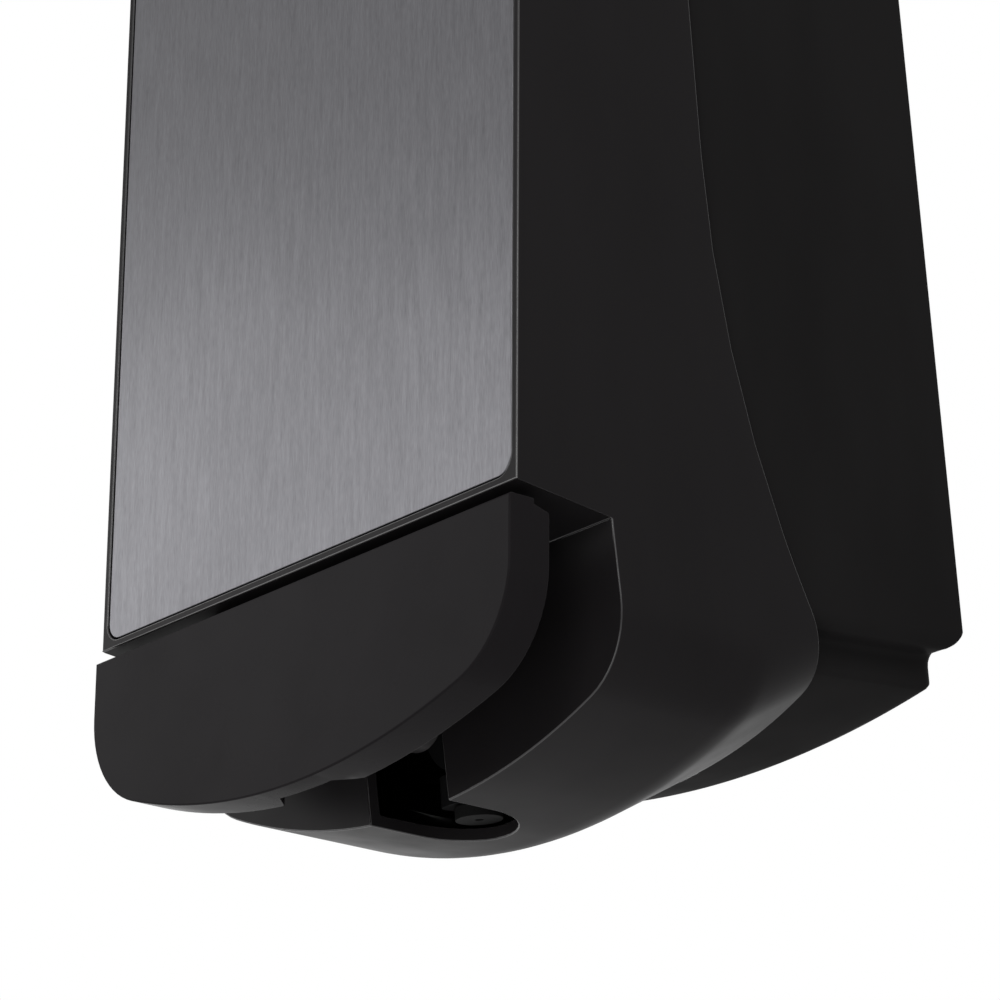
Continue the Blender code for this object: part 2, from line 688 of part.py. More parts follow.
def make_push_lever():
    back = LEVER_PROUD - LEVER_DEPTH
    lever = lever_body("push_lever", 0, LEVER_PROUD, back)
    cut(lever, lever_body("hollow", LEVER_WALL, LEVER_PROUD - LEVER_WALL, back - OVERRUN))
    cut(lever, *lever_top_cutters(back))
    join(lever, lever_finger("finger"), lever_ear("ear", -1), lever_ear("ear", 1))
    return lever


def make_lever_rod():
    return rod("lever_rod", LEVER_ROD_R, "X", LEVER_PIVOT, -LEVER_ROD_HALF_LENGTH, LEVER_ROD_HALF_LENGTH)


def shell_block(name, half, bottom, top, front_shift, rear):
    """Block behind the cover's rear edge, shifted from it, back to a plane near the wall."""
    outline = rear_edge(bottom, top, front_shift) + [(rear, bottom), (rear, top)]
    return extruded(name, outline, "X", -half, half)


def chin_outline(inset, top):
    """Shallow bowl below the shell, seen from the front."""
    half = CHIN_HALF_WIDTH - inset
    return bowl_outline(half, CHIN_CORNER_R, CHIN_ARC_R - inset, CHIN_LOWEST + inset, top)


def hinge_lugs():
    """Four lugs on the chin's floor, one on each side of both arms."""
    floor = CHIN_LOWEST + CHIN_WALL * 3 / 4
    inner = ARM_START - HINGE_LUG_GAP
    outer = ARM_END + HINGE_LUG_GAP
    outline = [(HINGE.y + HINGE_LUG_R, floor), (HINGE.y - HINGE_LUG_R, floor)]
    outline += arc_points(HINGE, HINGE_LUG_R, 0, math.pi, ARC_STEPS)
    lugs = []
    for low, high in ((inner - HINGE_LUG_WIDTH, inner), (outer, outer + HINGE_LUG_WIDTH)):
        for ends in ((low, high), (-high, -low)):
            lugs.append(extruded("hinge_lug", outline, "X", ends[0], ends[1]))
    return lugs


def chin_notches():
    """Gaps in the chin's front edge that let the arms swing through."""
    notches = []
    for low, high in ((ARM_START, ARM_END), (-ARM_END, -ARM_START)):
        near = (low - CHIN_NOTCH_GAP, HINGE.y - CHIN_PAST_HINGE - OVERRUN, CHIN_LOWEST - OVERRUN)
        far = (high + CHIN_NOTCH_GAP, HINGE.y - CHIN_NOTCH_PAST_HINGE, HINGE.z)
        notches.append(box("chin_notch", near, far))
    return notches


def lock_hook():
    """Hook under the shell's rim, caught by the lock's cam."""
    leg_rear = LOCK_AXIS.y - CAM_HALF_WIDTH - CAM_CATCH_GAP
    leg_front = leg_rear - HOOK_LEG_THICKNESS
    rim_top = TOP - COVER_WALL - RIM_TOP_GAP
    rim_front = -REAR_EDGE_DEPTH - RIM_REACH + GAP
    root_top = rim_top - SHELL_WALL / 2
    outline = [(leg_front, HOOK_LEG_BOTTOM), (leg_rear, HOOK_LEG_BOTTOM), (leg_rear, HOOK_BAR_BOTTOM)]
    outline += [(rim_front + HOOK_ROOT, HOOK_BAR_BOTTOM), (rim_front + HOOK_ROOT, root_top)]
    outline += [(rim_front, root_top), (rim_front, HOOK_TOP), (leg_front, HOOK_TOP)]
    return extruded("hook", outline, "X", HOOK_START, HOOK_END)


def shelf_parts():
    """Shelf under the tank, two ribs below it and two bosses for the pump screws."""
    bottom = SHELF_TOP - SHELF_THICKNESS
    half = HALF_WIDTH - COVER_WALL - SHELF_SIDE_GAP
    rear = -SHELL_WALL / 2
    parts = [box("shelf", (-half, -SHELF_REACH, bottom), (half, rear, SHELF_TOP))]
    inside = bottom + SHELF_THICKNESS / 2
    foot = SHELL_BOTTOM + SHELL_WALL
    for side in (-1, 1):
        middle = side * RIB_HALF_SPACING
        outline = [(rear, foot), (rear, inside), (-RIB_REACH, inside), (-RIB_REACH, bottom - GAP)]
        parts.append(extruded("rib", outline, "X", middle - RIB_THICKNESS / 2, middle + RIB_THICKNESS / 2))
        centre = (side * PUMP_SCREW_HALF_SPACING, PUMP_AXIS.y, 0)
        parts.append(rod("boss", BOSS_R, "Z", centre, bottom - BOSS_DROP, inside))
    return parts


def shelf_holes():
    """Hole for the tank's spigot, and screw holes in the bosses."""
    low = SHELF_TOP - SHELF_THICKNESS - BOSS_DROP - OVERRUN
    high = SHELF_TOP + OVERRUN
    hole_r = SPIGOT_R + SPIGOT_SIDE_GAP
    holes = [rod("spigot_hole", hole_r, "Z", PUMP_AXIS, low, high, ROUND_SIDES)]
    for side in (-1, 1):
        centre = (side * PUMP_SCREW_HALF_SPACING, PUMP_AXIS.y, 0)
        holes.append(rod("boss_hole", PUMP_SCREW_R + GAP, "Z", centre, low, high))
    return holes


def wall_screw_holes():
    holes = []
    for height in (WALL_SCREW_LOW, WALL_SCREW_HIGH):
        for side in (-1, 1):
            centre = (side * WALL_SCREW_HALF_SPACING, 0, height)
            holes.append(rod("wall_hole", WALL_SCREW_HOLE_R, "Y", centre, -SHELL_WALL - OVERRUN, OVERRUN))
    return holes


def make_back_shell():
    half = HALF_WIDTH - SHELL_SIDE_INSET
    top = TOP - SHELL_TOP_INSET
    rim_half = HALF_WIDTH - COVER_WALL - RIM_SIDE_GAP
    rim_top = TOP - COVER_WALL - RIM_TOP_GAP
    rim_bottom = SHELL_BOTTOM + RIM_BOTTOM_LIFT
    shell = shell_block("back_shell", half, SHELL_BOTTOM, top, SHELL_EDGE_GAP, 0)
    join(shell, shell_block("rim", rim_half, rim_bottom, rim_top, -RIM_REACH, -SHELL_WALL / 2))
    chin_top = SHELL_BOTTOM + SHELL_WALL / 2
    join(shell, extruded("chin", chin_outline(0, chin_top), "Y", HINGE.y - CHIN_PAST_HINGE, 0))
    floor = SHELL_BOTTOM + SHELL_WALL
    roof = top - SHELL_WALL
    cut(shell, shell_block("wide_hollow", half - SHELL_WALL, floor, roof, RIM_ROOT, -SHELL_WALL))
    inner_half = rim_half - SHELL_WALL
    long_reach = -FRONT_DEPTH / 2
    inner_floor = rim_bottom + SHELL_WALL
    cut(shell, shell_block("long_hollow", inner_half, inner_floor, rim_top - SHELL_WALL, long_reach, -SHELL_WALL))
    hollow_top = floor + OVERRUN
    cut(shell, extruded("chin_hollow", chin_outline(CHIN_WALL, hollow_top), "Y", long_reach, -SHELL_WALL))
    join(shell, *hinge_lugs())
    cut(shell, *chin_notches())
    cut(shell, rod("lug_holes", HINGE_ROD_R + GAP, "X", HINGE, -HALF_WIDTH / 2, HALF_WIDTH / 2))
    join(shell, lock_hook(), *shelf_parts())
    cut(shell, *shelf_holes())
    cut(shell, *wall_screw_holes())
    return shell


def make_cover_hinge_rod():
    return rod("cover_hinge_rod", HINGE_ROD_R, "X", HINGE, -HINGE_ROD_HALF_LENGTH, HINGE_ROD_HALF_LENGTH)


def tank_block(name, inset):
    rear = -SHELL_WALL - TANK_REAR_GAP - inset
    front = -TANK_FRONT_DEPTH + inset
    outline = rounded_rectangle(TANK_HALF_WIDTH - inset, front, rear, TANK_CORNER_R - inset)
    return extruded(name, outline, "Z", TANK_BOTTOM + inset, TANK_TOP - inset)


def lid_ears():
    """Two ears on the tank's top with eyes for the lid's pin."""
    start = LID_TAB_HALF_WIDTH + LID_EAR_GAP
    base = TANK_TOP - TANK_WALL / 2
    outline = [(LID_PIN.y + LID_EYE_R, base), (LID_PIN.y - LID_EYE_R, base)]
    outline += arc_points(LID_PIN, LID_EYE_R, 0, math.pi, ARC_STEPS)
    ears = []
    for ends in ((start, start + LID_EAR_WIDTH), (-start - LID_EAR_WIDTH, -start)):
        ears.append(extruded("lid_ear", outline, "X", ends[0], ends[1]))
    return ears


def make_reservoir():
    neck = (0, -NECK_DEPTH, 0)
    tank = tank_block("reservoir", 0)
    join(tank, rod("neck", NECK_R, "Z", neck, TANK_TOP - TANK_WALL / 2, NECK_TOP, ROUND_SIDES))
    join(tank, rod("spigot", SPIGOT_R, "Z", PUMP_AXIS, SPIGOT_BOTTOM, TANK_BOTTOM + TANK_WALL / 2, ROUND_SIDES))
    join(tank, *lid_ears())
    cut(tank, tank_block("inside", TANK_WALL))
    cut(tank, rod("filler", NECK_HOLE_R, "Z", neck, TANK_TOP - OVERRUN, NECK_TOP + OVERRUN, ROUND_SIDES))
    outlet_top = TANK_BOTTOM + OVERRUN
    cut(tank, rod("outlet", SPIGOT_HOLE_R, "Z", PUMP_AXIS, SPIGOT_BOTTOM - OVERRUN, outlet_top, ROUND_SIDES))
    cut(tank, rod("pin_hole", LID_PIN_R + GAP, "X", LID_PIN, -LID_PIN_HALF_LENGTH * 2, LID_PIN_HALF_LENGTH * 2))
    return tank


def make_reservoir_lid():
    """Disc with a plug ring below and a knuckle behind."""
    centre = (0, -NECK_DEPTH, 0)
    top = LID_BOTTOM + LID_THICKNESS
    lid = rod("reservoir_lid", LID_R, "Z", centre, LID_BOTTOM, top, ROUND_SIDES)
    plug = NECK_HOLE_R - LID_PLUG_GAP
    inside = LID_BOTTOM + LID_THICKNESS / 2
    join(lid, tube("plug", plug, plug - LID_PLUG_WALL, "Z", centre, LID_BOTTOM - LID_PLUG_DEPTH, inside, ROUND_SIDES))
    tab = [(-NECK_DEPTH + LID_R / 2, top), (-NECK_DEPTH + LID_R / 2, inside), (LID_PIN.y, LID_PIN.z - LID_EYE_R / 2)]
    tab += arc_points(LID_PIN, LID_EYE_R, math.pi * 3 / 2, math.pi / 2, ARC_STEPS)
    join(lid, extruded("knuckle", tab, "X", -LID_TAB_HALF_WIDTH, LID_TAB_HALF_WIDTH))
    cut(lid, rod("pin_hole", LID_PIN_R + GAP, "X", LID_PIN, -LID_PIN_HALF_LENGTH, LID_PIN_HALF_LENGTH))
    return lid


def make_lid_pin():
    return rod("lid_pin", LID_PIN_R, "X", LID_PIN, -LID_PIN_HALF_LENGTH, LID_PIN_HALF_LENGTH)


def make_outlet_seal():
    """Ring between the tank's spigot and the pump's tower."""
    inner = TOWER_R + GAP
    outer = SPIGOT_HOLE_R - GAP
    return tube("outlet_seal", outer, inner, "Z", PUMP_AXIS, SEAL_BOTTOM, SEAL_BOTTOM + SEAL_HEIGHT, ROUND_SIDES)


def make_pump_housing():
    front = -PUMP_FRONT_DEPTH
    rear = -PUMP_REAR_DEPTH
    housing = rod("pump_housing", PUMP_R, "Y", PUMP_AXIS, front, rear, ROUND_SIDES)
    join(housing, rod("tower", TOWER_R, "Z", PUMP_AXIS, PUMP_HEIGHT + PUMP_R / 2, TOWER_TOP, ROUND_SIDES))
    flange = rounded_rectangle(FLANGE_HALF_WIDTH, PUMP_AXIS.y - FLANGE_HALF_LENGTH,
                               PUMP_AXIS.y + FLANGE_HALF_LENGTH, FLANGE_CORNER_R)
    join(housing, extruded("flange", flange, "Z", FLANGE_BOTTOM, FLANGE_TOP))
    cut(housing, rod("bore", PUMP_BORE_R, "Y", PUMP_AXIS, front - OVERRUN, PUMP_BORE_END, ROUND_SIDES))
    cut(housing, rod("tower_bore", TOWER_BORE_R, "Z", PUMP_AXIS, TOWER_SEAT, TOWER_TOP + OVERRUN))
    cut(housing, rod("inlet_port", TOWER_PORT_R, "Z", PUMP_AXIS, PUMP_HEIGHT, TOWER_SEAT + OVERRUN))
    cut(housing, rod("outlet_port", SPOUT_CHANNEL_R, "Z", PUMP_AXIS, PUMP_HEIGHT - PUMP_R - OVERRUN, PUMP_HEIGHT))
    for side in (-1, 1):
        centre = (side * PUMP_SCREW_HALF_SPACING, PUMP_AXIS.y, 0)
        cut(housing, rod("screw_hole", PUMP_SCREW_R + GAP, "Z", centre, FLANGE_BOTTOM - OVERRUN, FLANGE_TOP + OVERRUN))
    return housing


def make_pump_gland():
    """Front guide of the pump: a disc with a spigot in the bore, bored for the piston's rod."""
    hole = PISTON_ROD_R + GAP
    spigot = PUMP_BORE_R - GAP
    profile = [(hole, GLAND_REAR - GLAND_THICKNESS), (PUMP_R, GLAND_REAR - GLAND_THICKNESS), (PUMP_R, GLAND_REAR)]
    profile += [(spigot, GLAND_REAR), (spigot, PISTON_FRONT - GAP), (hole, PISTON_FRONT - GAP)]
    return turned("pump_gland", profile, "Y", PUMP_AXIS, ROUND_SIDES)


def make_pump_piston():
    """Grooved head in the bore, and a rod that goes forward into the button."""
    groove = PISTON_FRONT + PISTON_GROOVE_SETBACK
    rod_front = BUTTON_REAR - BUTTON_SOCKET_DEPTH + GAP
    profile = [(0, rod_front), (PISTON_ROD_R, rod_front), (PISTON_ROD_R, PISTON_FRONT)]
    profile += [(PISTON_HEAD_R, PISTON_FRONT), (PISTON_HEAD_R, groove), (PISTON_GROOVE_R, groove)]
    profile += [(PISTON_GROOVE_R, groove + PISTON_GROOVE_WIDTH), (PISTON_HEAD_R, groove + PISTON_GROOVE_WIDTH)]
    profile += [(PISTON_HEAD_R, PISTON_REAR), (0, PISTON_REAR)]
    return turned("pump_piston", profile, "Y", PUMP_AXIS, ROUND_SIDES)


def make_piston_seal():
    start = PISTON_FRONT + PISTON_GROOVE_SETBACK + GAP
    end = start + PISTON_GROOVE_WIDTH - GAP - GAP
    return tube("piston_seal", PUMP_BORE_R - GAP, PISTON_GROOVE_R + GAP, "Y", PUMP_AXIS, start, end, ROUND_SIDES)


def make_push_button():
    """Domed button on the piston's rod, in front of the pump."""
    swing = math.asin(BUTTON_R / BUTTON_DOME_R)
    profile = []
    for step in range(CORNER_STEPS + 1):
        turn = swing * step / CORNER_STEPS
        profile.append((BUTTON_DOME_R * math.sin(turn), BUTTON_FRONT + BUTTON_DOME_R * (1 - math.cos(turn))))
    socket = PISTON_ROD_R + GAP
    socket_end = BUTTON_REAR - BUTTON_SOCKET_DEPTH
    profile += [(BUTTON_R, BUTTON_REAR), (socket, BUTTON_REAR), (socket, socket_end), (0, socket_end)]
    return turned("push_button", profile, "Y", PUMP_AXIS, ROUND_SIDES)


def make_return_spring():
    """Helix of round wire behind the piston's head."""
    start = PISTON_REAR + GAP + SPRING_WIRE_R
    end = PUMP_BORE_END - GAP - SPRING_WIRE_R
    count = SPRING_TURNS * SPRING_POINTS_PER_TURN
    curve = bpy.data.curves.new("return_spring", "CURVE")
    curve.dimensions = "3D"
    curve.bevel_depth = SPRING_WIRE_R
    curve.bevel_resolution = 1
    curve.use_fill_caps = True
    spline = curve.splines.new("POLY")
    spline.points.add(count)
    for i, point in enumerate(spline.points):
        turn = 2 * math.pi * i / SPRING_POINTS_PER_TURN
        x = SPRING_COIL_R * math.cos(turn)
        z = PUMP_HEIGHT + SPRING_COIL_R * math.sin(turn)
        point.co = (x, start + (end - start) * i / count, z, 1)
    spring = bpy.data.objects.new("return_spring", curve)
    bpy.context.scene.collection.objects.link(spring)
    return spring


def make_inlet_valve():
    """Rubber disc on the seat in the tower, with a stem in the port below."""
    low = TOWER_SEAT + GAP
    high = low + VALVE_DISC_THICKNESS
    profile = [(0, low - VALVE_STEM_LENGTH), (VALVE_STEM_R, low - VALVE_STEM_LENGTH), (VALVE_STEM_R, low)]
    profile += [(VALVE_DISC_R, low), (VALVE_DISC_R, high), (0, high)]
    return turned("inlet_valve", profile, "Z", PUMP_AXIS, SMALL_SIDES)


def make_spout():
    """Channel block under the pump that takes the soap forward and down."""
    nozzle = (0, -SPOUT_EXIT_DEPTH, 0)
    outline = rounded_rectangle(SPOUT_HALF_WIDTH, -SPOUT_FRONT_DEPTH, -SPOUT_REAR_DEPTH, SPOUT_CORNER_R)
    spout = extruded("spout", outline, "Z", SPOUT_BOTTOM, SPOUT_TOP)
    nozzle_end = SPOUT_BOTTOM - SPOUT_NOZZLE_LENGTH
    middle = (SPOUT_BOTTOM + SPOUT_TOP) / 2
    join(spout, rod("nozzle", SPOUT_NOZZLE_R, "Z", nozzle, nozzle_end, middle))
    channel = (0, 0, middle)
    reach = SPOUT_CHANNEL_R / 2
    cut(spout, rod("channel", SPOUT_CHANNEL_R, "Y", channel, nozzle[1] - reach, PUMP_AXIS.y + reach))
    cut(spout, rod("inlet", SPOUT_CHANNEL_R, "Z", PUMP_AXIS, middle, SPOUT_TOP + OVERRUN))
    cut(spout, rod("exit", SPOUT_CHANNEL_R, "Z", nozzle, nozzle_end - OVERRUN, middle))
    return spout


def make_spout_valve():
    """Rubber cap over the nozzle, with a small hole in its floor."""
    nozzle = (0, -SPOUT_EXIT_DEPTH, 0)
    inner = SPOUT_NOZZLE_R + GAP
    outer = inner + DRIP_VALVE_WALL
    nozzle_end = SPOUT_BOTTOM - SPOUT_NOZZLE_LENGTH
    top = nozzle_end + DRIP_VALVE_SKIRT
    floor = nozzle_end - GAP
    profile = [(DRIP_VALVE_HOLE_R, floor - DRIP_VALVE_FLOOR), (outer, floor - DRIP_VALVE_FLOOR), (outer, top)]
    profile += [(inner, top), (inner, floor), (DRIP_VALVE_HOLE_R, floor)]
    return turned("spout_valve", profile, "Z", nozzle, SMALL_SIDES)


def make_pump_screw(name, side):
    centre = (side * PUMP_SCREW_HALF_SPACING, PUMP_AXIS.y, 0)
    under = FLANGE_BOTTOM - GAP
    low = under - PUMP_SCREW_HEAD_HEIGHT
    profile = [(0, low), (PUMP_SCREW_HEAD_R, low), (PUMP_SCREW_HEAD_R, under), (PUMP_SCREW_R, under)]
    profile += [(PUMP_SCREW_R, PUMP_SCREW_TIP), (0, PUMP_SCREW_TIP)]
    return turned(name, profile, "Z", centre, SMALL_SIDES)


def make_lock_barrel():
    """Barrel with a flat head, a keyhole, and a bored stud for the cam."""
    head_bottom = TOP + GAP
    head_top = head_bottom + LOCK_HEAD_HEIGHT
    stud_hole = CAM_SCREW_SHANK_R + GAP
    hole_top = CAM_BOTTOM + CAM_SCREW_LENGTH
    profile = [(stud_hole, CAM_BOTTOM), (LOCK_STUD_R, CAM_BOTTOM), (LOCK_STUD_R, LOCK_BARREL_BOTTOM)]
    profile += [(LOCK_BARREL_R, LOCK_BARREL_BOTTOM), (LOCK_BARREL_R, head_bottom), (LOCK_HEAD_R, head_bottom)]
    profile += [(LOCK_HEAD_R, head_top), (0, head_top), (0, hole_top), (stud_hole, hole_top)]
    barrel = turned("lock_barrel", profile, "Z", LOCK_AXIS, ROUND_SIDES)
    half_l = LOCK_KEYHOLE_LENGTH / 2
    half_w = LOCK_KEYHOLE_WIDTH / 2
    low = (-half_l, LOCK_AXIS.y - half_w, head_top - LOCK_KEYHOLE_DEPTH)
    cut(barrel, box("keyhole", low, (half_l, LOCK_AXIS.y + half_w, head_top + OVERRUN)))
    return barrel


def make_lock_cam():
    """Flat arm on the barrel's stud, which reaches behind the hook."""
    cam = rod("lock_cam", CAM_HUB_R, "Z", LOCK_AXIS, CAM_BOTTOM, CAM_TOP, ROUND_SIDES)
    low = (0, LOCK_AXIS.y - CAM_HALF_WIDTH, CAM_BOTTOM)
    join(cam, box("cam_arm", low, (CAM_REACH, LOCK_AXIS.y + CAM_HALF_WIDTH, CAM_TOP)))
    cut(cam, rod("cam_hole", LOCK_STUD_R + GAP, "Z", LOCK_AXIS, CAM_BOTTOM - OVERRUN, CAM_TOP + OVERRUN, ROUND_SIDES))
    return cam


def make_cam_screw():
    under = CAM_BOTTOM - GAP
    low = under - CAM_SCREW_HEAD_HEIGHT
    tip = CAM_BOTTOM + CAM_SCREW_LENGTH - GAP
    profile = [(0, low), (CAM_SCREW_HEAD_R, low), (CAM_SCREW_HEAD_R, under), (CAM_SCREW_SHANK_R, under)]
    profile += [(CAM_SCREW_SHANK_R, tip), (0, tip)]
    return turned("cam_screw", profile, "Z", LOCK_AXIS, SMALL_SIDES)


def make_lock_nut():
    """Six-sided nut under the cover's top wall."""
    high = TOP - COVER_WALL - GAP
    low = high - LOCK_NUT_HEIGHT
    nut = rod("lock_nut", LOCK_NUT_R, "Z", LOCK_AXIS, low, high, 6)
    cut(nut, rod("nut_hole", LOCK_BARREL_R + GAP, "Z", LOCK_AXIS, low - OVERRUN, high + OVERRUN, ROUND_SIDES))
    return nut


def paint(piece, colour, roughness, metallic):
    """Material of its own, and smooth shading on the round stretches."""
    material = bpy.data.materials.new(piece.name)
    material.use_nodes = True
    shader = material.node_tree.nodes["Principled BSDF"]
    shader.inputs["Base Color"].default_value = (*colour, 1)
    shader.inputs["Roughness"].default_value = roughness
    shader.inputs["Metallic"].default_value = metallic
    piece.data.materials.clear()
    piece.data.materials.append(material)
    if piece.type == "MESH":
        piece.data.shade_smooth()
        piece.data.set_sharp_from_angle(angle=math.radians(30))


def pivot(name, place, parent):
    """Empty on a joint's axis; its pieces hang on it."""
    empty = bpy.data.objects.new(name, None)
    bpy.context.scene.collection.objects.link(empty)
    empty.parent = parent
    empty.location = place - Vector(parent["place"] if parent else (0, 0, 0))
    empty["place"] = place
    return empty


def hang(piece, empty):
    """Moves a piece's origin to its pivot and parents it there."""
    place = Vector(empty["place"])
    piece.data.transform(Matrix.Translation(-place))
    piece.parent = empty


def build_dispenser():
    clear_scene()
    black = (0.018, 0.017, 0.018)
    grey = (0.030, 0.029, 0.030)
    steel = (0.55, 0.55, 0.56)
    zinc = (0.42, 0.42, 0.43)
    rubber = (0.012, 0.012, 0.012)
    clear = (0.62, 0.64, 0.62)
    white = (0.70, 0.70, 0.68)
    engineering_black = (0.030, 0.030, 0.031)

    base = pivot("dispenser", Vector((0, 0, 0)), None)
    cover = pivot("cover_hinge_axis", HINGE, base)
    lever = pivot("lever_axis", LEVER_PIVOT, cover)
    lock = pivot("lock_axis", LOCK_AXIS, cover)
    plunger = pivot("plunger_axis", PUMP_AXIS, base)
    lid = pivot("lid_axis", LID_PIN, base)

    pieces = [
        (make_front_cover(), cover, black, 0.42, 0),
        (make_steel_plate(), cover, steel, 0.35, 1),
        (make_tape("plate_tape_left", -1), cover, white, 0.8, 0),
        (make_tape("plate_tape_right", 1), cover, white, 0.8, 0),
        (make_lock_nut(), cover, zinc, 0.35, 1),
        (make_lever_rod(), cover, steel, 0.3, 1),
        (make_push_lever(), lever, grey, 0.45, 0),
        (make_lock_barrel(), lock, zinc, 0.3, 1),
        (make_lock_cam(), lock, zinc, 0.35, 1),
        (make_cam_screw(), lock, zinc, 0.3, 1),
        (make_back_shell(), base, black, 0.5, 0),
        (make_cover_hinge_rod(), base, steel, 0.3, 1),
        (make_reservoir(), base, clear, 0.35, 0),
        (make_lid_pin(), base, steel, 0.3, 1),
        (make_reservoir_lid(), lid, white, 0.5, 0),
        (make_outlet_seal(), base, rubber, 0.7, 0),
        (make_pump_housing(), base, engineering_black, 0.4, 0),
        (make_pump_gland(), base, engineering_black, 0.4, 0),
        (make_inlet_valve(), base, rubber, 0.7, 0),
        (make_spout(), base, engineering_black, 0.4, 0),
        (make_spout_valve(), base, rubber, 0.7, 0),
        (make_pump_screw("pump_screw_left", -1), base, zinc, 0.3, 1),
        (make_pump_screw("pump_screw_right", 1), base, zinc, 0.3, 1),
        (make_return_spring(), base, steel, 0.25, 1),
        (make_pump_piston(), plunger, engineering_black, 0.35, 0),
        (make_piston_seal(), plunger, rubber, 0.6, 0),
        (make_push_button(), plunger, black, 0.4, 0),
    ]
    for piece, empty, colour, roughness, metallic in pieces:
        paint(piece, colour, roughness, metallic)
        hang(piece, empty)
    base.location = (0, 0, -ORIGIN_ABOVE_FOOT)


build_dispenser()
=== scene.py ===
"""Wall soap dispenser with a brushed steel front plate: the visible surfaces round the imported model.

Lengths are in metres.  X runs across, +Y goes to the wall and +Z is up.  The origin lies on the wall,
a tenth of a metre above the foot of the front panel, so heights counted from that foot get FOOT added.
"""

import json
import math

import bmesh
import bpy
import numpy as np
from mathutils import Matrix, Vector

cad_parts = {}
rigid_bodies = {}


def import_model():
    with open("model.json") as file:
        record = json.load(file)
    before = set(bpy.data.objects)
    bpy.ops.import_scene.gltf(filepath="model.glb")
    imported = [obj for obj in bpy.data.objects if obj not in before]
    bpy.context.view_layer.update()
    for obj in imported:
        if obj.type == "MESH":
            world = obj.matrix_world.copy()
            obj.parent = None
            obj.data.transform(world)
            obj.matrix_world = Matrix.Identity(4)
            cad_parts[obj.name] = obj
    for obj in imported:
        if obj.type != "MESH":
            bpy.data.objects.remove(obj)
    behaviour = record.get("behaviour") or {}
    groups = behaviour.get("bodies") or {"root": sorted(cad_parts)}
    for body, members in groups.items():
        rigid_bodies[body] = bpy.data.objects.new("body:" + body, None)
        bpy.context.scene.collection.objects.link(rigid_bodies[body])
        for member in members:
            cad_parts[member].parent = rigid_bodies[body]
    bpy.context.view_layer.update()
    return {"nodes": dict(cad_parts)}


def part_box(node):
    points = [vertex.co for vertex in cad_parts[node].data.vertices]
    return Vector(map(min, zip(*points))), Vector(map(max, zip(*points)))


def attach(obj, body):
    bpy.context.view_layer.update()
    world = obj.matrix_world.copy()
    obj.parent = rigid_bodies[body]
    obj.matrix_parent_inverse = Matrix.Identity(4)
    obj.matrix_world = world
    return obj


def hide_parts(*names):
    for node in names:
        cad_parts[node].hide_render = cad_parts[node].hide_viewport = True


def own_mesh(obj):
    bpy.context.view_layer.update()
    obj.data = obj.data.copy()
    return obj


for old in list(bpy.data.objects):
    bpy.data.objects.remove(old, do_unlink=True)
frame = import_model()

# Front cover: hood of injection-moulded black ABS with a satin skin.
# Its lower end is a bowl with a recess for the push lever and a round-ended slot for the nozzle, and
# two curved arms inside hang it on the hinge rod.
FOOT = -0.100
cover_low, cover_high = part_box("front_cover")
HALF_WIDTH = cover_high.x
TOP = cover_high.z - FOOT
FRONT_DEPTH = -cover_low.y
FRONT_LEAN = math.radians(5.05)
COVER_WALL = 0.0025
FRONT_THICKNESS = 0.0036
FRONT_WALL = FRONT_THICKNESS / math.cos(FRONT_LEAN)
BOWL_CORNER_R = 0.0165
BOWL_ARC_R = 0.140
BOWL_BEND_R = 0.012
BOWL_BEND_Y = -0.057
BOWL_BEND_Z = -0.0457
BOWL_FALL = math.radians(4.9)
BOWL_RAMP = math.radians(25.0)
BOWL_SHOULDER = -0.019
RECESS_DEPTH = 0.0211
CEILING_DROP = 0.0039
RECESS_DRAFT = math.radians(3.0)
REAR_EDGE_Y = -0.0586
REAR_ARC_R = 0.208
REAR_ARC_START = 0.070
SLOT_R = 0.0113
SLOT_END_Y = -0.0745
SLOT_FRONT_Y = -0.092
POCKET_DEPTH = 0.0021
POCKET_BORDER = 0.0015
POCKET_CORNER_R = 0.0038
LOCK_Y = -0.074
LOCK_HOLE_R = 0.0053
COVER_EDGE_R = 0.0006
PANEL_STEPS = 12
SHOULDER_STEPS = 3
CORNER_STEPS = 10
ARC_STEPS = 16
SLOT_STEPS = 8
BOWL_STEPS = (4, 5, 6, 7)
SLOT_ROW = BOWL_STEPS[0]


def front_y(z):
    """Depth of the leaning front plane: the foot's depth plus the height times the lean's tangent."""
    return -FRONT_DEPTH + z * np.tan(FRONT_LEAN)


def recess_y(z):
    """Depth of the drafted wall behind the lever: it goes back a little as it goes down."""
    return -FRONT_DEPTH + RECESS_DEPTH - (z + CEILING_DROP) * np.tan(RECESS_DRAFT)


def ceiling_z(y):
    """Height of the recess ceiling, which falls in proportion to the way back from the front."""
    return -(y + FRONT_DEPTH) * CEILING_DROP / RECESS_DEPTH


def rear_edge_y(z):
    """Depth of the cover's rear edge: straight above, and a circle's arc towards the wall below."""
    below = np.maximum(REAR_ARC_START - z, 0)
    return REAR_EDGE_Y + REAR_ARC_R - np.sqrt(REAR_ARC_R ** 2 - below ** 2)


def bowl_floor(y, inset):
    """Lowest height at a depth: a gentle fall, a round bend and a ramp, offset square by the inset."""
    radius = BOWL_BEND_R - inset
    middle_y = BOWL_BEND_Y + BOWL_BEND_R * math.sin(BOWL_FALL)
    middle_z = BOWL_BEND_Z + BOWL_BEND_R * math.cos(BOWL_FALL)
    start_y = middle_y - radius * math.sin(BOWL_FALL)
    end_y = middle_y + radius * math.sin(BOWL_RAMP)
    bend = middle_z - np.sqrt(np.maximum(radius ** 2 - (np.clip(y, start_y, end_y) - middle_y) ** 2, 0))
    fall = np.minimum(y - start_y, 0) * math.tan(BOWL_FALL)
    return bend - fall + np.maximum(y - end_y, 0) * math.tan(BOWL_RAMP)


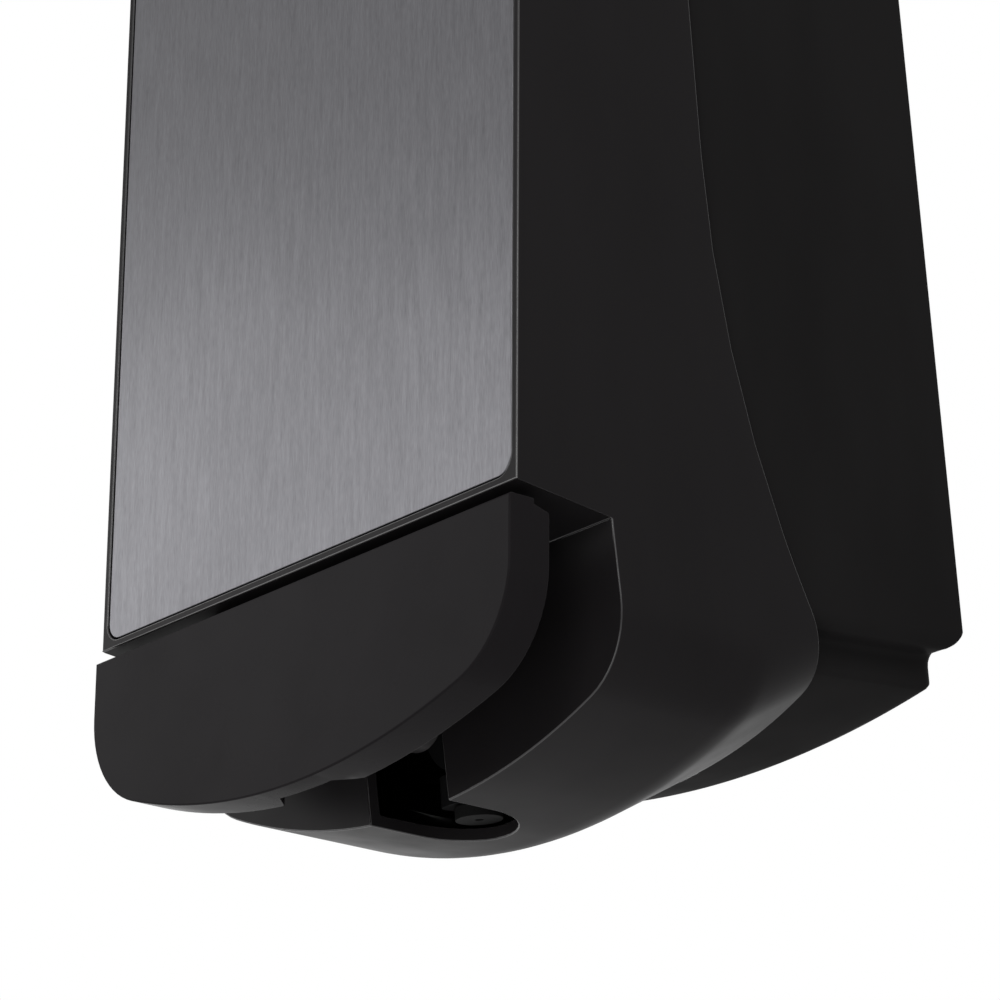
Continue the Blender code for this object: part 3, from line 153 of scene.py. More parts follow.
def corner_drop(half, corner, wide):
    """Height of the corner circle's middle above the lowest point, where it touches side and arc."""
    return wide - math.sqrt((wide - corner) ** 2 - (half - corner) ** 2)


def line(start, end, count):
    """Points in even steps from start to end."""
    return np.linspace(start, end, count + 1)


def bowl_columns(inset):
    """Places across the bowl as (x, height above the floor's lowest).

    First the corner circle and the shallow arc up to the slot's side, then the slot's round end, whose
    x goes with the sine of the turn.
    """
    half, corner, wide = HALF_WIDTH - inset, BOWL_CORNER_R - inset, BOWL_ARC_R - inset
    rise = corner_drop(half, corner, wide)
    swing = math.atan2(half - corner, wide - rise)
    turn = line(math.pi / 2, swing, CORNER_STEPS)
    round_part = np.stack([half - corner + corner * np.sin(turn), rise - corner * np.cos(turn)], 1)
    turn = line(swing, math.asin(SLOT_R / wide), ARC_STEPS)[1:]
    shallow = np.stack([wide * np.sin(turn), wide - wide * np.cos(turn)], 1)
    x = SLOT_R * np.sin(line(math.pi / 2, 0, SLOT_STEPS))[1:]
    middle = np.stack([x, wide - np.sqrt(wide ** 2 - x ** 2)], 1)
    return np.concatenate([round_part, shallow]), middle


def settled(y, edge, height, rounds=40):
    """Depth at which a line whose height follows its depth meets an edge.

    The edge's depth is taken again and again at the line's height there, until it stays.
    """
    for _ in range(rounds):
        y = edge(height(y))
    return y


def stations(start, end, middles, steps):
    """Depths from start to end of each line through the given middle depths, in even steps between."""
    stops = [start] + [np.full_like(start, value) for value in middles] + [end]
    rows = [start]
    for low, high, count in zip(stops, stops[1:], steps):
        rows += [low + (high - low) * step / count for step in range(1, count + 1)]
    return np.stack(rows)


def cover_skin(inset, heights, front_edge):
    """One skin of the cover's half as grids of rows from the front edge to the rear edge.

    Side lines share the height between the top and the bowl's corner evenly with the depth, and the
    bowl's lines keep their height above the floor.  Returns the side and bowl grid and the slot's grid.
    """
    columns, middle = bowl_columns(inset)
    bend = (BOWL_BEND_Y, BOWL_BEND_Y + BOWL_BEND_R * (math.sin(BOWL_FALL) + math.sin(BOWL_RAMP)))

    def bowl_grid(places, start, middles, counts):
        x, above = places.T
        end = settled(np.full_like(x, REAR_EDGE_Y), rear_edge_y, lambda y: bowl_floor(y, inset) + above)
        y = stations(start, end, middles, counts)
        return np.stack([np.broadcast_to(x, y.shape), y, bowl_floor(y, inset) + above], -1)

    above = columns[:, 1]
    start = settled(np.full_like(above, -FRONT_DEPTH), front_edge,
                    lambda y: bowl_floor(y, inset) + above)
    bowl = bowl_grid(columns, start, (SLOT_END_Y, *bend), BOWL_STEPS)
    slot_start = SLOT_END_Y + np.sqrt(np.maximum(SLOT_R ** 2 - middle[:, 0] ** 2, 0))
    slot = bowl_grid(middle, slot_start, bend, BOWL_STEPS[1:])
    slot = np.concatenate([bowl[SLOT_ROW:, -1:], slot], 1)

    corner_y = bowl[:, 0, 1]
    share = (corner_y - corner_y[0]) / (corner_y[-1] - corner_y[0])
    rise = corner_drop(HALF_WIDTH - inset, BOWL_CORNER_R - inset, BOWL_ARC_R - inset)
    low = bowl_floor(front_edge(heights), inset) + rise
    down = (heights[0] - heights) / (heights[0] - low)

    def side_height(y):
        return heights[0] - (heights[0] - bowl_floor(y, inset) - rise) * down

    end = settled(np.full_like(heights, REAR_EDGE_Y), rear_edge_y, side_height)
    y = front_edge(heights) + (end - front_edge(heights)) * share[:, None]
    side = np.stack([np.full_like(y, HALF_WIDTH - inset), y, side_height(y)], -1)
    return np.concatenate([side, bowl], 1), slot


def mirrored(points, faces):
    """The half at x above 0 and its mirror image: x changes its sign and the faces turn round."""
    both = np.concatenate([points, points * (-1, 1, 1)])
    return both, faces + [[i + len(points) for i in face[::-1]] for face in faces]


SAME_POINT = 0.00001
NO_LENGTH = 0.000005


def shell_of(name, grids, rims, both_sides=True):
    """Closed mesh from grids of points, whose cells are its faces, and rims, each one flat face.

    Points that lie on each other are merged, and the faces are turned outwards afterwards.
    """
    points, faces, count = [], [], 0
    for grid in grids:
        rows, columns = grid.shape[:2]
        index = count + np.arange(rows * columns).reshape(rows, columns)
        cells = np.stack([index[:-1, :-1], index[1:, :-1], index[1:, 1:], index[:-1, 1:]], -1)
        faces += cells.reshape(-1, 4).tolist()
        points.append(grid.reshape(-1, 3))
        count += rows * columns
    for rim in rims:
        faces.append(list(range(count, count + len(rim))))
        points.append(np.asarray(rim))
        count += len(rim)
    points = np.concatenate(points)
    if both_sides:
        points, faces = mirrored(points, faces)
    mesh = bpy.data.meshes.new(name)
    mesh.from_pydata((points + (0, 0, FOOT)).tolist(), [], faces)
    work = bmesh.new()
    work.from_mesh(mesh)
    bmesh.ops.remove_doubles(work, verts=work.verts, dist=SAME_POINT)
    bmesh.ops.dissolve_degenerate(work, edges=work.edges, dist=NO_LENGTH)
    bmesh.ops.recalc_face_normals(work, faces=work.faces)
    work.to_mesh(mesh)
    work.free()
    return mesh


def joined(meshes):
    """One mesh that holds several closed ones."""
    work = bmesh.new()
    for mesh in meshes:
        work.from_mesh(mesh)
    work.to_mesh(meshes[0])
    work.free()
    return meshes[0]


def piece(name, mesh, body, slot, *nodes):
    """Object for a finished mesh that rides on a body and stands for its nodes."""
    made = bpy.data.objects.new(name, mesh)
    bpy.context.scene.collection.objects.link(made)
    made.data.shade_smooth()
    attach(made, body)
    if nodes:
        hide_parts(*nodes)
    return made


def eased(made, radius, angle=40, segments=3, finish=-1):
    """Rounds each edge sharper than the angle, and keeps the flats beside it flat in shading.

    The round takes the material in the slot given as finish, or that of the face beside it.
    """
    bevel = made.modifiers.new("edges", "BEVEL")
    bevel.width = radius
    bevel.segments = segments
    bevel.limit_method = "ANGLE"
    bevel.angle_limit = math.radians(angle)
    bevel.harden_normals = True
    bevel.miter_outer = "MITER_ARC"
    bevel.material = finish
    return made


def on_front(x, up, out):
    """Point that lies x across, up along the leaning front from its foot, and out of it."""
    s, c = math.sin(FRONT_LEAN), math.cos(FRONT_LEAN)
    x, up, out = np.broadcast_arrays(x, up, out)
    return np.stack([x, -FRONT_DEPTH + up * s - out * c, up * c + out * s], -1)


def round_corners(half, low, high, radius, steps=8):
    """Right half of a rectangle with round corners, from the middle of its foot to that of its top."""
    turn = line(-math.pi / 2, 0, steps)
    foot = np.stack([half - radius + radius * np.cos(turn), low + radius + radius * np.sin(turn)], 1)
    head = np.stack([foot[::-1, 0], high + low - foot[::-1, 1]], 1)
    return np.concatenate([[(0, low)], foot, head, [(0, high)]])


def cover_mesh():
    """Both skins of the cover, joined by its rear rim, recess, slot, pocket and lock hole."""
    roof = TOP - COVER_WALL
    heights = np.concatenate([line(TOP, 0, PANEL_STEPS), [-CEILING_DROP],
                              line(-CEILING_DROP, BOWL_SHOULDER, SHOULDER_STEPS)[1:-1]])
    ledge = ceiling_z(recess_y(0) + COVER_WALL) + COVER_WALL
    inner_heights = np.concatenate([line(roof, COVER_WALL, PANEL_STEPS), [ledge],
                                    line(ledge, BOWL_SHOULDER, SHOULDER_STEPS)[1:-1]])

    def outer_front(z):
        slope = front_y(0) + (recess_y(-CEILING_DROP) - front_y(0)) * np.clip(-z / CEILING_DROP, 0, 1)
        return np.where(z >= 0, front_y(z), np.where(z > -CEILING_DROP, slope, recess_y(z)))

    start_y = front_y(COVER_WALL) + FRONT_WALL
    ledge_y = recess_y(ledge) + COVER_WALL

    def inner_front(z):
        share = np.clip((COVER_WALL - z) / (COVER_WALL - ledge), 0, 1)
        slope = start_y + (ledge_y - start_y) * share
        low = np.where(z > ledge, slope, recess_y(z) + COVER_WALL)
        return np.where(z >= COVER_WALL, front_y(z) + FRONT_WALL, low)

    def inner_ceiling(y):
        return COVER_WALL + (ledge - COVER_WALL) * (y - start_y) / (ledge_y - start_y)

    outer, outer_slot = cover_skin(0, heights, outer_front)
    inner, inner_slot = cover_skin(COVER_WALL, inner_heights, inner_front)
    panel = PANEL_STEPS + 1
    rear = np.concatenate([outer[-1], outer_slot[-1, 1:]])
    inner_rear = np.concatenate([inner[-1], inner_slot[-1, 1:]])
    turn = line(0, math.pi, 16)
    hole = np.stack([LOCK_HOLE_R * np.sin(turn), LOCK_Y + LOCK_HOLE_R * np.cos(turn)], 1)
    hole_top = np.column_stack([hole, np.full(len(hole), TOP)])
    hole_roof = np.column_stack([hole, np.full(len(hole), roof)])

    def lid(side, lock, z):
        """Flat top between the front, the side's upper points, the rear and half of the lock's hole."""
        return np.concatenate([[(0, side[0, 1], z)], side, [(0, side[-1, 1], z)], lock])

    length = TOP / math.cos(FRONT_LEAN)
    pocket = round_corners(HALF_WIDTH - POCKET_BORDER, POCKET_BORDER, length - POCKET_BORDER,
                           POCKET_CORNER_R)
    pocket_rim = on_front(pocket[:, 0], pocket[:, 1], 0)
    pocket_foot = on_front(pocket[:, 0], pocket[:, 1], -POCKET_DEPTH)
    border = np.concatenate([pocket_rim, [(0, front_y(TOP), TOP)], outer[0, :panel],
                             [(0, front_y(0), 0)]])
    corner = (SLOT_R, SLOT_FRONT_Y, ceiling_z(SLOT_FRONT_Y))
    inner_corner = (SLOT_R, SLOT_FRONT_Y, inner_ceiling(SLOT_FRONT_Y))
    notch = [corner, (0, *corner[1:])]
    inner_notch = [inner_corner, (0, *inner_corner[1:])]
    slot_top = (SLOT_R, recess_y(-CEILING_DROP), -CEILING_DROP)
    inner_slot_top = (SLOT_R, ledge_y, ledge)
    ceiling = np.concatenate([[(0, front_y(0), 0)], outer[0, panel - 1:panel + 1], [slot_top], notch])
    inner_floor = np.concatenate([[(0, start_y, COVER_WALL)], inner[0, panel - 1:panel + 1],
                                  [inner_slot_top], inner_notch])
    slot_side = np.concatenate([[corner, slot_top], outer[:SLOT_ROW + 1, -1], inner[SLOT_ROW::-1, -1],
                                [inner_slot_top, inner_corner]])
    inner_panel = [(0, start_y, COVER_WALL), (0, front_y(roof) + FRONT_WALL, roof)]
    grids = [outer, outer_slot, inner, inner_slot, np.stack([rear, inner_rear]),
             np.stack([outer_slot[0], inner_slot[0]]), np.stack([hole_top, hole_roof]),
             np.stack([pocket_rim, pocket_foot])]
    rims = [lid(outer[:, 0], hole_top, TOP), lid(inner[:, 0], hole_roof, roof), border,
            np.concatenate([inner[0, :panel], inner_panel]), ceiling, inner_floor,
            np.concatenate([[slot_top], outer[0, panel:]]),
            np.concatenate([[inner_slot_top], inner[0, panel:]]),
            slot_side, [*notch, *inner_notch[::-1]],
            [(0, REAR_EDGE_Y, TOP), outer[-1, 0], inner[-1, 0], (0, REAR_EDGE_Y, roof)], pocket_foot]
    return shell_of("cover_hood", grids, rims)


def prism(outline, start, end, both_sides=False):
    """Side view of (depth, height) points, carried across from start to end and closed by flat ends."""
    ring = np.asarray(outline, float)
    ends = [np.column_stack([np.full(len(ring), x), ring]) for x in (start, end)]
    loop = np.stack([np.concatenate([side, side[:1]]) for side in ends])
    return shell_of("prism", [loop], ends, both_sides)


def arc(middle, radius, start, end, steps):
    """Points (depth, height) on a circle, whose turn counts in degrees from the front upwards."""
    turn = np.radians(line(start, end, steps))
    return np.stack([middle[0] - radius * np.cos(turn), middle[1] + radius * np.sin(turn)], 1)


EYE_STEPS = 32
NEAR_ZERO = 0.001


def eye(middle, radius, hole, reach, towards, start, end, both_sides=True):
    """Flat eye round a rod: a circle that runs straight on to a foot at some reach.

    The rim's distance is the radius, or on the foot's side that of a box as wide as the circle.
    """
    turn = line(0, 2 * math.pi, EYE_STEPS)
    along, across = np.cos(turn), np.sin(turn)
    box_side = radius / np.maximum(np.abs(across), NEAR_ZERO)
    box_foot = reach / np.maximum(np.abs(along), NEAR_ZERO)
    rim = np.where(along > 0, np.minimum(box_side, box_foot), radius)
    way = math.radians(towards)
    y = along * math.cos(way) - across * math.sin(way)
    z = along * math.sin(way) + across * math.cos(way)
    loops = [(r, x) for r, x in ((rim, start), (rim, end), (hole, end), (hole, start), (rim, start))]
    grid = [np.stack([np.full_like(y, x), middle[0] + r * y, middle[1] + r * z], 1) for r, x in loops]
    return shell_of("eye", [np.stack(grid)], [], both_sides)


HINGE = (-0.028, -0.0224)
ARM_START = 0.0155
ARM_END = 0.0205
ARM_INNER_R = 0.0082
ARM_OUTER_R = 0.0114
ARM_HUB_R = 0.003
ARM_ROOT_Y = -0.030
ARM_OUTER_TURN = (60, -58)
ARM_INNER_TURN = (-72, 40)
ARM_HUB_TURN = (10, 100)
ARM_STEPS = 18
HUB_STEPS = 6
HINGE_HOLE_R = 0.00155
LEVER_PIVOT = (-0.098, -0.0095)
LEVER_EYE_R = 0.004
LEVER_HOLE_R = 0.0018
LUG_START = 0.033
LUG_END = 0.0365
LUG_REACH = 0.0085


def cover_arms():
    """Curved arms from the ramp's inner face round the chin's edge to the hinge rod."""
    foot = np.radians((ARM_OUTER_TURN[1], ARM_INNER_TURN[0]))
    ramp_z = bowl_floor(np.array(ARM_ROOT_Y), COVER_WALL / 2)
    square = (ARM_ROOT_Y - HINGE[0]) * math.sin(BOWL_RAMP) - (ramp_z - HINGE[1]) * math.cos(BOWL_RAMP)
    far = square / np.cos(foot + math.pi / 2 + BOWL_RAMP)
    ends = np.stack([HINGE[0] - far * np.cos(foot), HINGE[1] + far * np.sin(foot)], 1)
    outline = [arc(HINGE, ARM_OUTER_R, *ARM_OUTER_TURN, ARM_STEPS), ends,
               arc(HINGE, ARM_INNER_R, *ARM_INNER_TURN, ARM_STEPS),
               arc(HINGE, (ARM_HUB_R + HINGE_HOLE_R) / 2, *ARM_HUB_TURN, HUB_STEPS)]
    return [prism(np.concatenate(outline), ARM_START, ARM_END, True),
            eye(HINGE, ARM_HUB_R, HINGE_HOLE_R, ARM_HUB_R, 0, ARM_START, ARM_END)]


def noise(tree, place, scale, detail, stretch=(1, 1, 1)):
    """Noise on the piece's own coordinates, drawn out along an axis by a small stretch."""
    links = tree.links
    if tuple(stretch) != (1, 1, 1):
        mapping = tree.nodes.new("ShaderNodeMapping")
        mapping.inputs["Scale"].default_value = stretch
        links.new(place, mapping.inputs["Vector"])
        place = mapping.outputs["Vector"]
    texture = tree.nodes.new("ShaderNodeTexNoise")
    texture.inputs["Scale"].default_value = scale
    texture.inputs["Detail"].default_value = detail
    links.new(place, texture.inputs["Vector"])
    return texture.outputs["Fac"]


def spread(tree, value, low, high, to_low, to_high):
    """Share of a noise between two values, turned into a number between two others."""
    span = tree.nodes.new("ShaderNodeMapRange")
    for name, number in zip(("From Min", "From Max", "To Min", "To Max"), (low, high, to_low, to_high)):
        span.inputs[name].default_value = number
    tree.links.new(value, span.inputs["Value"])
    return span.outputs["Result"]


def blended(tree, value, dark, light):
    """Colour between a dark and a light one by a share."""
    mix = tree.nodes.new("ShaderNodeMix")
    mix.data_type = "RGBA"
    mix.inputs["A"].default_value = (*dark, 1)
    mix.inputs["B"].default_value = (*light, 1)
    tree.links.new(value, mix.inputs["Factor"])
    return mix.outputs["Result"]


def raised(tree, shader, value, strength, height, below=None):
    """Bump from a noise, over another bump where one is given."""
    bump = tree.nodes.new("ShaderNodeBump")
    bump.inputs["Strength"].default_value = strength
    bump.inputs["Distance"].default_value = height
    tree.links.new(value, bump.inputs["Height"])
    if below:
        tree.links.new(below, bump.inputs["Normal"])
    tree.links.new(bump.outputs["Normal"], shader.inputs["Normal"])
    return bump.outputs["Normal"]


def begun(name):
    """New material: its tree, its shader and the piece's own coordinates."""
    material = bpy.data.materials.new(name)
    material.use_nodes = True
    tree = material.node_tree
    place = tree.nodes.new("ShaderNodeTexCoord").outputs["Object"]
    return material, tree, tree.nodes["Principled BSDF"], place


FLOW_SCALE = 24
FLOW_STRETCH = (1, 1, 0.35)
WEAR_SCALE = 70
GRAIN_SCALE = 2600
GRAIN_HEIGHT = 0.00004


def moulded_plastic(name, colour, roughness, specular, grain=0.12, cloud=0.12):
    """Moulded plastic, whose colour drifts a little and whose gloss varies with flow and handling.

    A fine spark-eroded grain breaks the highlights.
    """
    material, tree, shader, place = begun(name)
    flow = spread(tree, noise(tree, place, FLOW_SCALE, 4, FLOW_STRETCH), 0.35, 0.65, 0, 1)
    dark = [c * (1 - cloud) for c in colour]
    light = [c * (1 + cloud) for c in colour]
    tree.links.new(blended(tree, flow, dark, light), shader.inputs["Base Color"])
    wear = spread(tree, noise(tree, place, WEAR_SCALE, 6), 0.3, 0.7, roughness - 0.04, roughness + 0.05)
    tree.links.new(wear, shader.inputs["Roughness"])
    raised(tree, shader, noise(tree, place, GRAIN_SCALE, 2), grain, GRAIN_HEIGHT)
    shader.inputs["Specular IOR Level"].default_value = specular
    return material


def painted(made, *materials):
    """The piece shows the first material; a second one is for its rounded edges."""
    made.data.materials.clear()
    for material in materials:
        made.data.materials.append(material)
    return made


polished_edge = moulded_plastic("polished_edge", (0.0110, 0.0100, 0.0106), roughness=0.16, specular=0.45)
hood_black = moulded_plastic("hood_black", (0.0078, 0.0071, 0.0075), roughness=0.34, specular=0.034)
lever_lugs = eye(LEVER_PIVOT, LEVER_EYE_R, LEVER_HOLE_R, LUG_REACH, 90, LUG_START, LUG_END)
hood = piece("cover_hood", joined([cover_mesh(), *cover_arms(), lever_lugs]), "cover", "cover_plastic",
             "front_cover")
painted(eased(hood, COVER_EDGE_R, finish=1), hood_black, polished_edge)

# Steel plate: stainless sheet 0.8 mm thick, brushed from top to bottom, laser cut with round corners.
# It lies in the hood's pocket on two strips of white foam tape and carries no print.
PLATE_BORDER = 0.0018
PLATE_CORNER_R = 0.0035
PLATE_FACE = -0.0002
PLATE_BACK = -0.0010
PLATE_EDGE_R = 0.00025
PLATE_DARK = (0.078, 0.077, 0.083)
PLATE_LIGHT = (0.122, 0.121, 0.130)
FINE_SCRATCHES = (5200, 5200, 45)
COARSE_SCRATCHES = (900, 900, 9)
COARSE_SHARE = 0.55
SCRATCH_DEPTH = 0.00003


def plate_mesh():
    """Round-cornered outlines, from the back up the edge and round a small eased edge to the face."""
    length = TOP / math.cos(FRONT_LEAN)
    turn = line(0, math.pi / 2, 4)
    steps = [(0, PLATE_BACK)] + [(PLATE_EDGE_R * (1 - c), PLATE_FACE - PLATE_EDGE_R * (1 - s))
                                 for c, s in zip(np.cos(turn), np.sin(turn))]
    loops = []
    for inset, out in steps:
        border = PLATE_BORDER + inset
        edge = round_corners(HALF_WIDTH - border, border, length - border, PLATE_CORNER_R - inset)
        loops.append(on_front(edge[:, 0], edge[:, 1], out))
    return shell_of("steel_sheet", [np.stack(loops)], [loops[0], loops[-1]])


def weighted(made, angle=35):
    """Keeps the flats flat in shading and leaves edges past the angle crisp."""
    made.data.set_sharp_from_angle(angle=math.radians(angle))
    weights = made.modifiers.new("flats", "WEIGHTED_NORMAL")
    weights.keep_sharp = True
    return made


def brushed_steel():
    """Brushed stainless: long fine scratches down the sheet, in the gloss, the colour and the relief."""
    material, tree, shader, place = begun("brushed_stainless")
    fine = noise(tree, place, 1, 3, FINE_SCRATCHES)
    coarse = noise(tree, place, 1, 4, COARSE_SCRATCHES)
    drift = noise(tree, place, 14, 2)
    both = tree.nodes.new("ShaderNodeMath")
    both.operation = "MULTIPLY_ADD"
    both.inputs[1].default_value = COARSE_SHARE
    tree.links.new(coarse, both.inputs[0])
    tree.links.new(spread(tree, fine, 0.2, 0.8, 0, 1 - COARSE_SHARE), both.inputs[2])
    scratches = both.outputs["Value"]
    colour = blended(tree, spread(tree, scratches, 0.25, 0.75, 0, 1), PLATE_DARK, PLATE_LIGHT)
    tree.links.new(colour, shader.inputs["Base Color"])
    shader.inputs["Metallic"].default_value = 1
    tree.links.new(spread(tree, drift, 0.3, 0.7, 0.33, 0.38), shader.inputs["Roughness"])
    shader.inputs["Anisotropic"].default_value = 0.6
    across = tree.nodes.new("ShaderNodeCombineXYZ")
    across.inputs["X"].default_value = 1
    tree.links.new(across.outputs["Vector"], shader.inputs["Tangent"])
    raised(tree, shader, scratches, 0.25, SCRATCH_DEPTH)
    return material


plate = piece("steel_sheet", plate_mesh(), "cover", "brushed_plate", "steel_plate")
painted(weighted(plate), brushed_steel())

# Push lever: black ABS press bar, flat on top and round below, with a hollow back and a thick rim.
# It swings on a steel rod, and the solid finger behind its middle presses the pump's button.
LEVER_SIDE_GAP = 0.0001
LEVER_HALF = HALF_WIDTH - LEVER_SIDE_GAP
LEVER_TOP = -0.0027
LEVER_LOWEST = -0.0407
LEVER_CORNER_R = 0.020
LEVER_ARC_R = 0.156
LEVER_WALL = 0.0025
LEVER_FACE = 0.0014
LEVER_BACK = -0.0076
LEVER_FACE_R = 0.0004
LEVER_BACK_R = 0.0005
LEVER_EDGE_R = 0.0002
STEP_OUT = -0.0039
STEP_DROP = 0.001
STEP_RUN = 0.00001
CHAMFER_DROP = 0.0010
NOTCH_HALF = 0.012
NOTCH_RISE = 0.0043
EAR_START = 0.029
EAR_END = 0.032
EAR_REACH = 0.0095
FINGER_HALF = 0.007
FINGER_TOP = -0.019
FINGER_FOOT = -0.0315
FINGER_REACH = 0.0108
FINGER_END = LEVER_PIVOT[0] + FINGER_REACH


def lever_outline(inset, drop):
    """Half of the lever seen from the front: flat top, straight side, corner circle and shallow arc."""
    half, corner, wide = LEVER_HALF - inset, LEVER_CORNER_R - inset, LEVER_ARC_R - inset
    lowest, top = LEVER_LOWEST + inset, LEVER_TOP - inset - drop
    rise = lowest + corner_drop(half, corner, wide)
    swing = math.atan2(half - corner, wide - corner_drop(half, corner, wide))
    parts = [np.stack([line(0, half, 6), np.full(7, top)], 1)]
    parts.append(np.stack([np.full(4, half), line(top, rise, 4)[1:]], 1))
    turn = line(math.pi / 2, swing, 14)[1:]
    parts.append(np.stack([half - corner + corner * np.sin(turn), rise - corner * np.cos(turn)], 1))
    notch = NOTCH_HALF - NOTCH_RISE
    x = np.concatenate([line(wide * math.sin(swing), NOTCH_HALF, 12)[1:],
                        line(NOTCH_HALF, notch, 3)[1:], line(notch, 0, 3)[1:]])
    parts.append(np.stack([x, lowest + wide - np.sqrt(wide ** 2 - x ** 2)], 1))
    return np.concatenate(parts)


def lever_drop(out):
    """How far the top lies lower behind the face: one step, then a chamfer that grows evenly."""
    share = np.clip((STEP_OUT - out) / (STEP_OUT - LEVER_BACK), 0, 1)
    return (STEP_DROP if out < STEP_OUT else 0) + CHAMFER_DROP * share


def lever_mesh():
    """Outlines from the face round its eased edge, back along the rim, over it and into the hollow."""
    quarter = line(0, math.pi / 2, 4)
    face = [(LEVER_FACE_R * (1 - math.sin(t)), LEVER_FACE - LEVER_FACE_R * (1 - math.cos(t)))
            for t in quarter]
    back = [(LEVER_BACK_R * (1 - math.cos(t)), LEVER_BACK + LEVER_BACK_R * (1 - math.sin(t)))
            for t in quarter]
    inner = [(LEVER_WALL - inset, out) for inset, out in back[::-1]]
    profile = [*face, (0, STEP_OUT), (0, STEP_OUT - STEP_RUN), *back, *inner,
               (LEVER_WALL, LEVER_FACE - LEVER_WALL)]
    loops = []
    for row, (inset, out) in enumerate(profile):
        drop = lever_drop(out)
        if row >= len(profile) - len(inner) - 1:
            drop = max(drop - LEVER_WALL / 2, 0)
        outline = lever_outline(inset, drop)
        low = outline[:, 1] < LEVER_TOP + LEVER_LOWEST / 2
        rise = np.clip(NOTCH_HALF - outline[:, 0], 0, NOTCH_RISE) * low
        loops.append(on_front(outline[:, 0], outline[:, 1], np.maximum(out, LEVER_BACK + rise)))
    return shell_of("press_bar", [np.stack(loops)], [loops[0], loops[-1]])


def finger_mesh():
    """Solid finger behind the lever's face, from the hollow's floor to just before the button."""
    wall = LEVER_WALL / 2 - LEVER_FACE
    outline = [(front_y(FINGER_FOOT) + wall, FINGER_FOOT), (front_y(FINGER_TOP) + wall, FINGER_TOP),
               (FINGER_END, FINGER_TOP), (FINGER_END, FINGER_FOOT)]
    return prism(outline, -FINGER_HALF, FINGER_HALF)


lever_black = moulded_plastic("lever_black", (0.0082, 0.0074, 0.0080), roughness=0.26, specular=0.013)
ears = eye(LEVER_PIVOT, LEVER_EYE_R, LEVER_HOLE_R, EAR_REACH, 180, EAR_START, EAR_END)
bar = piece("press_bar", joined([lever_mesh(), finger_mesh(), ears]), "lever", "lever_plastic",
            "push_lever")
painted(eased(weighted(bar), LEVER_EDGE_R, angle=50, segments=2, finish=1), lever_black, polished_edge)

# Back shell: black ABS case that is screwed to the wall.  Its side walls step in under the hood's edge,
# and below them a shallow round chin holds the hinge rod.  A shelf inside carries the tank and pump.
SHELL_INSET = 0.0012
SHELL_HALF = HALF_WIDTH - SHELL_INSET
SHELL_TOP = TOP - SHELL_INSET
SHELL_BOTTOM = -0.0165
SHELL_WALL = 0.0025
EDGE_GAP = 0.0004
RIM_TOP_GAP = 0.0019
RIM_RISE = 0.0012
RIM_HALF = HALF_WIDTH - COVER_WALL - EDGE_GAP
RIM_TOP = TOP - COVER_WALL - RIM_TOP_GAP
RIM_BOTTOM = SHELL_BOTTOM + RIM_RISE
RIM_REACH = 0.0075
RIM_CORNER_R = 0.0008
INNER_LEDGE_R = 0.0004
CASE_EDGE_R = 0.0004
CHIN_HALF = 0.0539
CHIN_LOWEST = -0.0285
CHIN_ARC_R = 0.250
CHIN_CORNER_R = 0.002
CHIN_WALL = 0.002
CHIN_FRONT_Y = -0.043
LEDGE_R = 0.0015
LOWER_R = 0.0032
UPPER_R = 0.002
SIDE_ROUND = 0.0005
UNDER_ROUND = 0.0045
LEAST_R = 0.0003
SHELF_TOP = 0.0044
SHELF_BOTTOM = 0.0019
SHELF_FRONT_Y = -0.092
SHELF_SINK = 0.0004
OUTLET_MIDDLE = (0, -0.054, 0.003)
OUTLET_HOLE_R = 0.0105
RIB_START = 0.030
RIB_END = 0.032
RIB_FRONT_Y = -0.080
RIB_SINK = 0.001
RIB_NOSE = 0.0003
HOOK_START = 0.008
HOOK_END = 0.014
HOOK_FRONT_Y = -0.0795
HOOK_LIP_Y = -0.0776
HOOK_LOWEST = 0.197
HOOK_UNDER = 0.205
HOOK_TOP = 0.208
HOOK_ROOT_TOP = 0.2094
HOOK_ROOT_FRONT = 0.0003
HOOK_ROOT_REAR = 0.0044
ROD_LUG_R = 0.0032
ROD_LUG_REACH = 0.0045
ROD_LUG_WIDTH = 0.003
ROD_LUG_STARTS = (0.0115, 0.0215)
SPLASH_WALL = 0.0016
SPLASH_CLEARANCE = 0.0009
SPLASH_SIDE_GAP = 0.001
SPLASH_STEPS = 48
ARM_GAP = 0.0008
ARM_NOTCH_MARGIN = 0.004
ARM_NOTCH_REAR_Y = -0.033
WALL_SCREW_X = 0.038
WALL_SCREW_HEIGHTS = (0.020, 0.195)
WALL_HOLE_R = 0.0025
CASE_STEPS = (6, 5, 24, 6, 2, 5, 2, 5, 20)
EASE_STEPS = 6
DEPTH_STEPS = 10


def round_run(middle, radius, start, end, steps):
    """Even points round a circle from one angle to another."""
    turn = np.radians(line(start, end, steps))
    return np.asarray(middle) + radius * np.stack([np.cos(turn), np.sin(turn)], 1)


